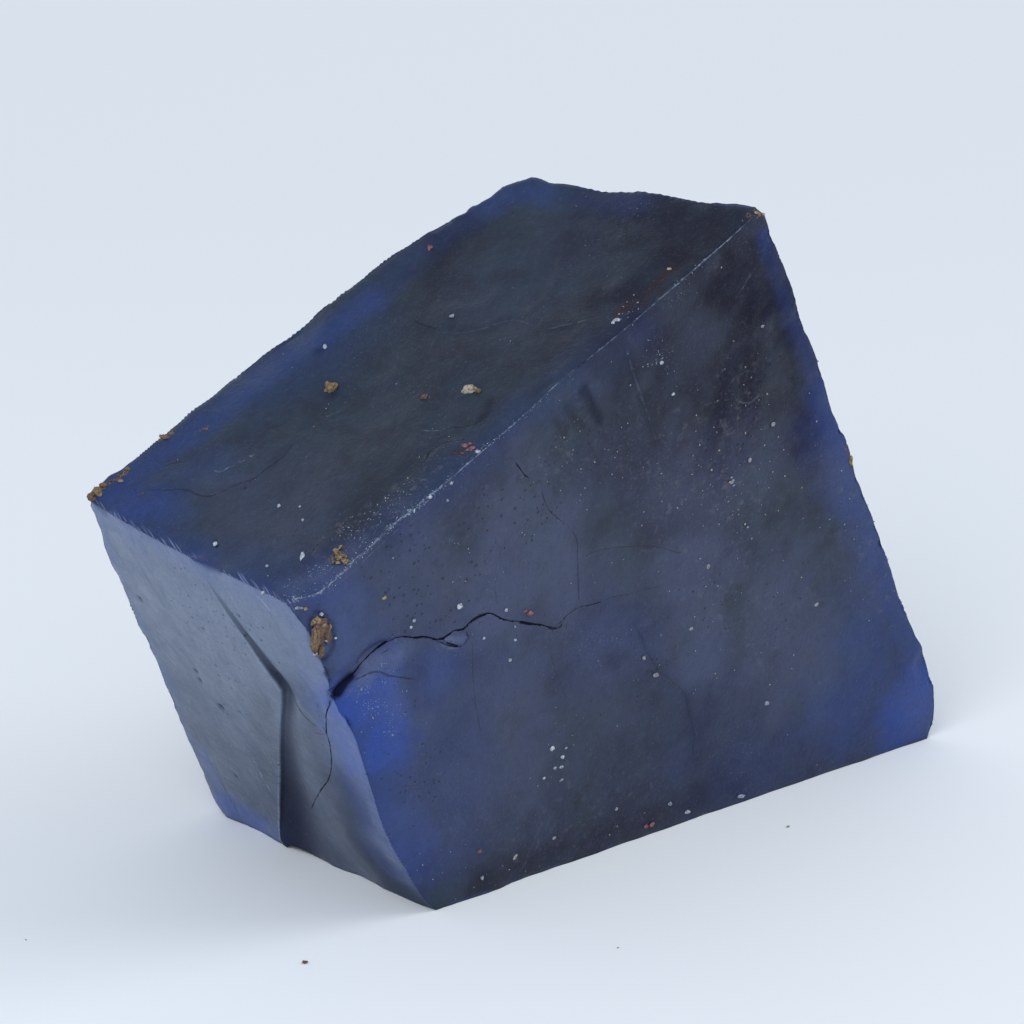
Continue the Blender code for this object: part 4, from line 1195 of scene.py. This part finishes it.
class Nodes:
    """Short ways to add shader nodes to a material."""

    def __init__(self, name):
        self.material = bpy.data.materials.new(name)
        self.material.use_nodes = True
        self.tree = self.material.node_tree
        self.shader = self.tree.nodes["Principled BSDF"]

    def add(self, kind, inputs=(), **settings):
        made = self.tree.nodes.new("ShaderNode" + kind)
        for key, value in settings.items():
            setattr(made, key, value)
        for key, value in dict(inputs).items():
            self.put(made.inputs[key], value)
        return made

    def put(self, socket, value):
        if isinstance(value, Value):
            self.tree.links.new(value.socket, socket)
        else:
            socket.default_value = value

    def finished(self, **inputs):
        """The material, with its shader's inputs set. Their names are written with underscores."""
        for key, value in inputs.items():
            self.put(self.shader.inputs[key.replace("_", " ")], value)
        return self.material

    def maths(self, operation, a, b=0.0, c=0.0, clamp=False):
        made = self.add("Math", {0: a, 1: b, 2: c}, operation=operation, use_clamp=clamp)
        return Value(self, made.outputs[0])

    def larger(self, a, b, clamp=False):
        return self.maths("MAXIMUM", a, b, clamp=clamp)

    def scaled(self, value, by, more):
        """value times by, plus more."""
        return self.maths("MULTIPLY_ADD", value, by, more)

    def mix(self, share, a, b):
        return Value(self, self.add("Mix", {0: share, 6: a, 7: b}, data_type="RGBA").outputs[2])

    def between(self, value, start, end, low=0.0, high=1.0):
        """low where the value is at start, high where it is at end, with a smooth way between."""
        made = self.add("MapRange", {"Value": value, "From Min": start, "From Max": end, "To Min": low,
                                     "To Max": high}, interpolation_type="SMOOTHSTEP")
        return Value(self, made.outputs[0])

    def field(self, name):
        return Value(self, self.add("Attribute", attribute_name=name).outputs["Fac"])

    def place(self):
        """The place on the stone in millimetres."""
        here = Value(self, self.add("TexCoord").outputs["Object"])
        return Value(self, self.add("Mapping", {"Vector": here, "Scale": [1 / MM] * 3}).outputs[0])

    def streaks(self, along, size):
        """Noise that changes along one coordinate only."""
        made = self.add("TexNoise", {"W": along, "Scale": 1 / size, "Detail": 2.0, "Roughness": 0.6},
                        noise_dimensions="1D")
        return Value(self, made.outputs["Fac"])

    def noise(self, where, size, detail=3.0, rough=0.55, warp=0.0):
        made = self.add("TexNoise", {"Vector": where, "Scale": 1 / size, "Detail": detail, "Roughness": rough,
                                     "Distortion": warp})
        return Value(self, made.outputs["Fac"])

    def bump(self, height):
        """The normal of a surface with a height in millimetres."""
        made = self.add("Bump", {"Height": height, "Strength": 1.0, "Distance": MM})
        return Value(self, made.outputs[0])

    def line(self, name, where):
        """How much of a line shows here, from its signed distance."""
        wander = self.noise(where, 0.35, 2.0) - 0.5
        wobble = self.scaled(self.noise(where, 0.1, 2.0), 0.08, self.field(name))
        away = abs(self.scaled(wander, 0.10, wobble - 0.04))
        width = self.between(self.noise(where, 0.7, 3.0, 0.6), 0.35, 0.62, 0.45, 1.5)
        half = self.field(name + "_half") * width
        return self.between(away / half, 0.4, 1.4, 1.0, 0.0) * self.field(name + "_on")


def body_and_painted_light(n, here, clouds, mottle, near):
    """Slate, indigo, umber; sawn end paled by finish and painted sheen; painted cobalt glow where light gets
    in.
    """
    purple = n.between(clouds, 0.32, 0.58) * n.scaled(n.field("top"), -0.75, 1.0)
    body = n.mix(purple, SLATE, INDIGO)
    body = n.mix(n.between(mottle, 0.45, 0.72, 0.0, 0.45), body, UMBER)
    body = n.mix(n.field("warm") * n.between(mottle, 0.25, 0.6, 0.55, 1.0), body, UMBER)
    # Painted sheen on the sawn end over its paler finish: paler higher up, darker in saw stripes and mottle.
    sawn_sheen = n.mix(n.between(n.field("tall"), 2.0, 20.0), SAWN_SHEEN_LOW, SAWN_SHEEN_HIGH)
    stripes = n.streaks(n.field("hair"), STRIPE_GRAIN)
    sawn_sheen = n.mix(n.between(stripes, 0.45, 0.75, 0.0, 0.22), sawn_sheen, SAWN_SHEEN_LOW)
    sawn_sheen = n.mix(n.between(mottle, 0.45, 0.7, 0.0, 0.12), sawn_sheen, SAWN_SHEEN_LOW)
    body = n.mix(near, body, sawn_sheen)
    # Painted glow: cobalt, and lilac on the sawn end, where light would shine through the stone.
    painted_glow = n.maths("MULTIPLY", n.field("painted_glow"), n.between(mottle, 0.2, 0.6, 0.7, 1.0), clamp=True)
    colour = n.mix(painted_glow, body, n.mix(near, PAINTED_GLOW_COBALT, PAINTED_GLOW_LILAC))
    misty = n.field("haze") * n.between(mottle, 0.25, 0.6, 0.4, 0.75)
    colour = n.mix(misty * (1.0 - near), colour, MIST)
    rough_patch = n.noise(here, ROUGH_GRAIN, 5.0, 0.75)
    colour = n.mix(n.between(rough_patch, 0.52, 0.75, 0.0, 0.22), colour, n.mix(near, MIST, PALE))
    return n.mix(n.between(rough_patch, 0.48, 0.28, 0.0, 0.30), colour, n.mix(near, UMBER, SAWN_SHEEN_LOW))


def with_hairs(n, colour, near):
    """The colour with the pale hairs that the saw left along the arc."""
    hairs = n.streaks(n.field("hair"), HAIR_GRAIN)
    longest = n.between(n.streaks(n.field("hair"), 0.6), 0.35, 0.65, 0.10, 0.55)
    lap = n.between(hairs, 0.50, 0.60, 0.0, 0.8) * n.between(n.field("arc") / longest, 0.5, 1.0, 1.0, 0.0)
    colour = n.mix(lap * (1.0 - near), colour, HAIR)
    brushed = n.between(hairs, 0.45, 0.62, 0.0, 0.45) * n.between(n.field("arc"), 0.2, 1.5, 1.0, 0.0)
    return n.mix(brushed * near, colour, HAIR)


def pit_holes(n, here, grain):
    """Where fine pits are, in the patches that have them."""
    pits = n.add("TexVoronoi", {"Vector": here, "Scale": 1 / PIT_CELL})
    chance = n.add("SeparateColor", {"Color": Value(n, pits.outputs["Color"])})
    holes = n.between(Value(n, chance.outputs[0]), 0.0, 1.0, -0.12, 0.34)
    holes = holes * n.between(n.field("pitted"), 0.05, 0.8, 0.3, 1.0)
    holes = holes - n.scaled(grain, 0.2, -0.1)
    holes = n.between(Value(n, pits.outputs["Distance"]) - holes, -0.10, 0.02, 1.0, 0.0)
    return holes * n.between(n.field("pitted"), 0.02, 0.5)


def stone_material():
    """The stone's surface, from noise and from the fields of its skin."""
    n = Nodes("tanzanite_skin")
    here = n.place()
    clouds = n.noise(here, CLOUD_GRAIN, 4.0, 0.6, 0.6)
    mottle = n.noise(here, MOTTLE_GRAIN, 4.0, 0.62, 0.3)
    grain = n.noise(here, FINE_GRAIN, 3.0, 0.6)
    dust = n.noise(here, DUST_GRAIN, 2.0, 0.5)
    near = n.field("near")
    colour = with_hairs(n, body_and_painted_light(n, here, clouds, mottle, near), near)

    # Painted shade beside the plate's edge, and a painted highlight on its lip.
    inside = n.between(n.field("step"), -0.03, 0.05)
    fading = n.between(n.field("step") / n.field("step_reach"), 0.15, 0.95, 1.0, 0.0)
    shade = inside * fading * n.field("step_on")
    colour = n.mix(shade * 0.9, colour, SHADE_NAVY)
    lip = n.between(n.field("step"), -0.14, -0.05) * (1.0 - inside)
    lip = lip * n.field("step_on") * n.between(grain, 0.35, 0.6, 0.1, 0.45)
    colour = n.mix(lip, colour, PALE)

    # Blotches, rust, crust and specks, with painted shade in the fine pits and painted glints.
    blotch = n.between(n.noise(here, 0.55, 3.0, 0.6), 0.55, 0.72, 0.0, 0.5)
    blotch = n.larger(blotch, n.between(n.noise(here, 0.22, 3.0, 0.6), 0.6, 0.72, 0.0, 0.5))
    colour = n.mix(blotch * n.field("fleck"), colour, FLECK)
    rust = n.field("rust") * n.between(grain, 0.3, 0.6, 0.5, 1.2)
    colour = n.mix(n.between(rust, 0.1, 0.8, 0.0, 0.9), colour, DRIED_BLOOD)
    crust = n.field("gold") * n.between(grain, 0.35, 0.6, 0.4, 1.3)
    golden = n.mix(n.between(dust, 0.4, 0.6), CRUST, UMBER)
    colour = n.mix(n.between(crust, 0.25, 0.6, 0.0, 0.9), colour, golden)
    speckle = n.between(dust * n.between(clouds, 0.3, 0.8, 0.9, 1.06), 0.66, 0.76, 0.0, 0.25)
    colour = n.mix(speckle, colour, PALE)
    colour = n.mix(n.between(grain, 0.62, 0.75, 0.0, 0.4), colour, BLACK)
    holes = pit_holes(n, here, grain)
    # Painted shade in the fine pits.
    colour = n.mix(holes * 0.6, colour, SHADE_NAVY)
    # Painted glints.
    painted_glints = n.scaled(n.field("painted_glints"), 0.17, n.noise(here, 0.11, 2.0, 0.6))
    painted_glints = n.between(painted_glints, 0.66, 0.74) * n.between(n.field("painted_glints"), 0.02, 0.2)
    painted_glints = painted_glints * n.between(n.noise(here, 0.8, 3.0, 0.6, 0.5), 0.4, 0.6, 0.15, 1.0)
    colour = n.mix(painted_glints * 0.7, colour, PALE)

    # The pale ridge and the scratches, then the cracks and painted shade in dark hollows.
    # The pale worn ridge, partly a painted highlight on its rounded edge.
    edge = n.between(n.scaled(grain - 0.5, -0.22, n.field("ridge")), 0.01, 0.06, 1.0, 0.0)
    edge = edge * n.between(n.noise(here, 0.7, 2.0), 0.35, 0.65, 0.12, 0.55)
    colour = n.mix(edge, colour, PALE)
    broken = n.between(n.noise(here, 0.3, 2.0), 0.4, 0.6, 0.15, 1.0)
    colour = n.mix(n.line("scratch", here) * broken, colour, PALE)
    crack = n.line("crack", here)
    fine = n.line("fine", here)
    shade_and_dark = n.larger(n.larger(crack, fine * 0.8), n.field("shade_and_dark") * 0.85, clamp=True)
    colour = n.mix(shade_and_dark, colour, n.mix(n.field("shade_and_dark"), BLACK, SHADE_NAVY))

    rough = n.larger(n.between(mottle, 0.3, 0.7, 0.32, 0.5), n.larger(shade, n.field("dull")), clamp=True)
    height = n.scaled(grain, 0.030, dust * 0.012) * n.scaled(near, -0.35, 1.0)
    height = n.scaled(n.noise(here, 0.8, 4.0, 0.6), near * 0.10, height)
    height = n.scaled(holes, -0.05, height)
    height = height - n.scaled(fine, n.field("fine_deep"), crack * n.field("crack_deep"))
    hollow = n.larger(shade_and_dark, n.field("warm") * 0.6)
    return n.finished(Base_Color=colour, Roughness=rough, Normal=n.bump(height), IOR=1.69,
                      Specular_IOR_Level=n.between(hollow, 0.2, 1.0, 0.21, 0.03))


def crumb_material():
    """The crumbs' surface, coloured by their hues."""
    n = Nodes("crumbs")
    here = n.place()
    patchy = n.noise(here, 0.22, 4.0, 0.7)
    coat = n.add("ValToRGB", {"Fac": n.scaled(patchy - 0.5, 0.55, n.field("hue"))})
    stops = coat.color_ramp.elements
    for number, (place, colour) in enumerate(HUES):
        stop = stops[number] if number < 2 else stops.new(place)
        stop.position, stop.color = place, colour
    hollow = n.between(n.noise(here, 0.16, 3.0, 0.6), 0.35, 0.55, 0.55, 0.0)
    colour = n.mix(hollow, Value(n, coat.outputs["Color"]), BLACK)
    return n.finished(Base_Color=colour, Normal=n.bump(patchy * 0.12), Roughness=0.5, Specular_IOR_Level=0.4)


def floor_material():
    """Pale paper with painted shade that makes it a little darker away from the camera."""
    n = Nodes("table")
    here = n.place()
    away = n.add("VectorMath", {0: here, 1: (0.62, 0.78, 0.0)}, operation="DOT_PRODUCT").outputs["Value"]
    paper = n.mix(n.between(n.noise(here, 90.0, 3.0), 0.3, 0.7), *PAPER)
    colour = n.mix(n.between(Value(n, away), -45.0, 110.0), paper, PAPER_FAR_SHADE)
    return n.finished(Base_Color=colour, Roughness=0.9, Specular_IOR_Level=0.0)


# ------------------------------------------------------------------------------------------------------------
# The scene.


def linked(name, data):
    """A new object with some data, in the scene."""
    thing = bpy.data.objects.new(name, data)
    bpy.context.scene.collection.objects.link(thing)
    return thing


def mesh_object(name, points, tris, fields, material):
    """An object in the row's frame from points in stone millimetres."""
    mesh = bpy.data.meshes.new(name)
    places = (np.asarray(points) + FRONT_FOOT) * MM
    mesh.from_pydata(places.tolist(), [], np.asarray(tris).tolist())
    for key in fields:
        kept = mesh.attributes.new(key, "FLOAT", "POINT")
        kept.data.foreach_set("value", np.asarray(fields[key], np.float32))
    mesh.polygons.foreach_set("use_smooth", [True] * len(mesh.polygons))
    mesh.update()
    mesh.materials.append(material)
    return linked(name, mesh)


points, tris, fields, surface = stone_skin()
skin = mesh_object("tanzanite_skin", points, tris, fields, stone_material())
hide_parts("tanzanite")
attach(skin, "root")

coat = crumb_material()
points, crumb_tris, fields = stone_crumbs(surface)
crumbs = mesh_object("tanzanite_crumbs", points, crumb_tris, fields, coat)
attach(crumbs, "root")
dust = mesh_object("table_dust", *table_crumbs(), coat)

FLOOR_HALF = 3.0
FLOOR_DROP = 2e-5
floor_mesh = bpy.data.meshes.new("table")
floor_mesh.from_pydata([(x * FLOOR_HALF, y * FLOOR_HALF, -FLOOR_DROP) for x, y in
                        ((-1, -1), (1, -1), (1, 1), (-1, 1))], [], [(0, 1, 2, 3)])
floor_mesh.materials.append(floor_material())
floor = linked("table", floor_mesh)

# The lamps: (name, place in metres, watts).
LAMPS = (("left", (-0.9, -0.5, 1.0), 7.0), ("right", (1.0, -0.6, 0.9), 5.5))
LAMP_SIZE = 0.9
LAMP_COLOUR = (0.97, 0.98, 1.0)
LAMP_AIM = Vector((0, 0, 0.02))
for name, at, power in LAMPS:
    lamp = bpy.data.lights.new(name, "AREA")
    lamp.shape = "DISK"
    lamp.size = LAMP_SIZE
    lamp.energy = power
    lamp.color = LAMP_COLOUR
    lamp_object = linked(name, lamp)
    lamp_object.location = at
    lamp_object.rotation_mode = "QUATERNION"
    lamp_object.rotation_quaternion = (LAMP_AIM - Vector(at)).to_track_quat("-Z", "Y")

# The sky's colours, by the upward share of the direction.
SKY = ((0.0, (0.83, 0.88, 0.95, 1)), (0.84, (0.40, 0.44, 0.49, 1)), (0.6, (0.80, 0.85, 0.92, 1)))
world = bpy.data.worlds.new("studio")
world.use_nodes = True
nodes, links = world.node_tree.nodes, world.node_tree.links
upward = nodes.new("ShaderNodeSeparateXYZ")
links.new(nodes.new("ShaderNodeTexCoord").outputs["Generated"], upward.inputs[0])
tone = nodes.new("ShaderNodeValToRGB")
for number, (height, colour) in enumerate(SKY):
    stop = tone.color_ramp.elements[number] if number < 2 else tone.color_ramp.elements.new(height)
    stop.position, stop.color = height, colour
links.new(upward.outputs["Z"], tone.inputs[0])
links.new(tone.outputs["Color"], nodes["Background"].inputs["Color"])
bpy.context.scene.world = world

camera = linked("camera", bpy.data.cameras.new("camera"))
camera.data.sensor_width = SENSOR_MM
camera.data.lens = FOCAL_PX / PICTURE * SENSOR_MM
camera.data.clip_start = 0.01
camera.data.clip_end = 20.0
camera.rotation_mode = "QUATERNION"
camera.location = (CAMERA_AT + FRONT_FOOT) * MM
camera.rotation_quaternion = Matrix((CAMERA_RIGHT, CAMERA_UP, CAMERA_BACK)).transposed().to_quaternion()
bpy.context.scene.camera = camera
bpy.context.scene.view_settings.view_transform = "Standard"

print("triangles", len(tris), len(crumb_tris))
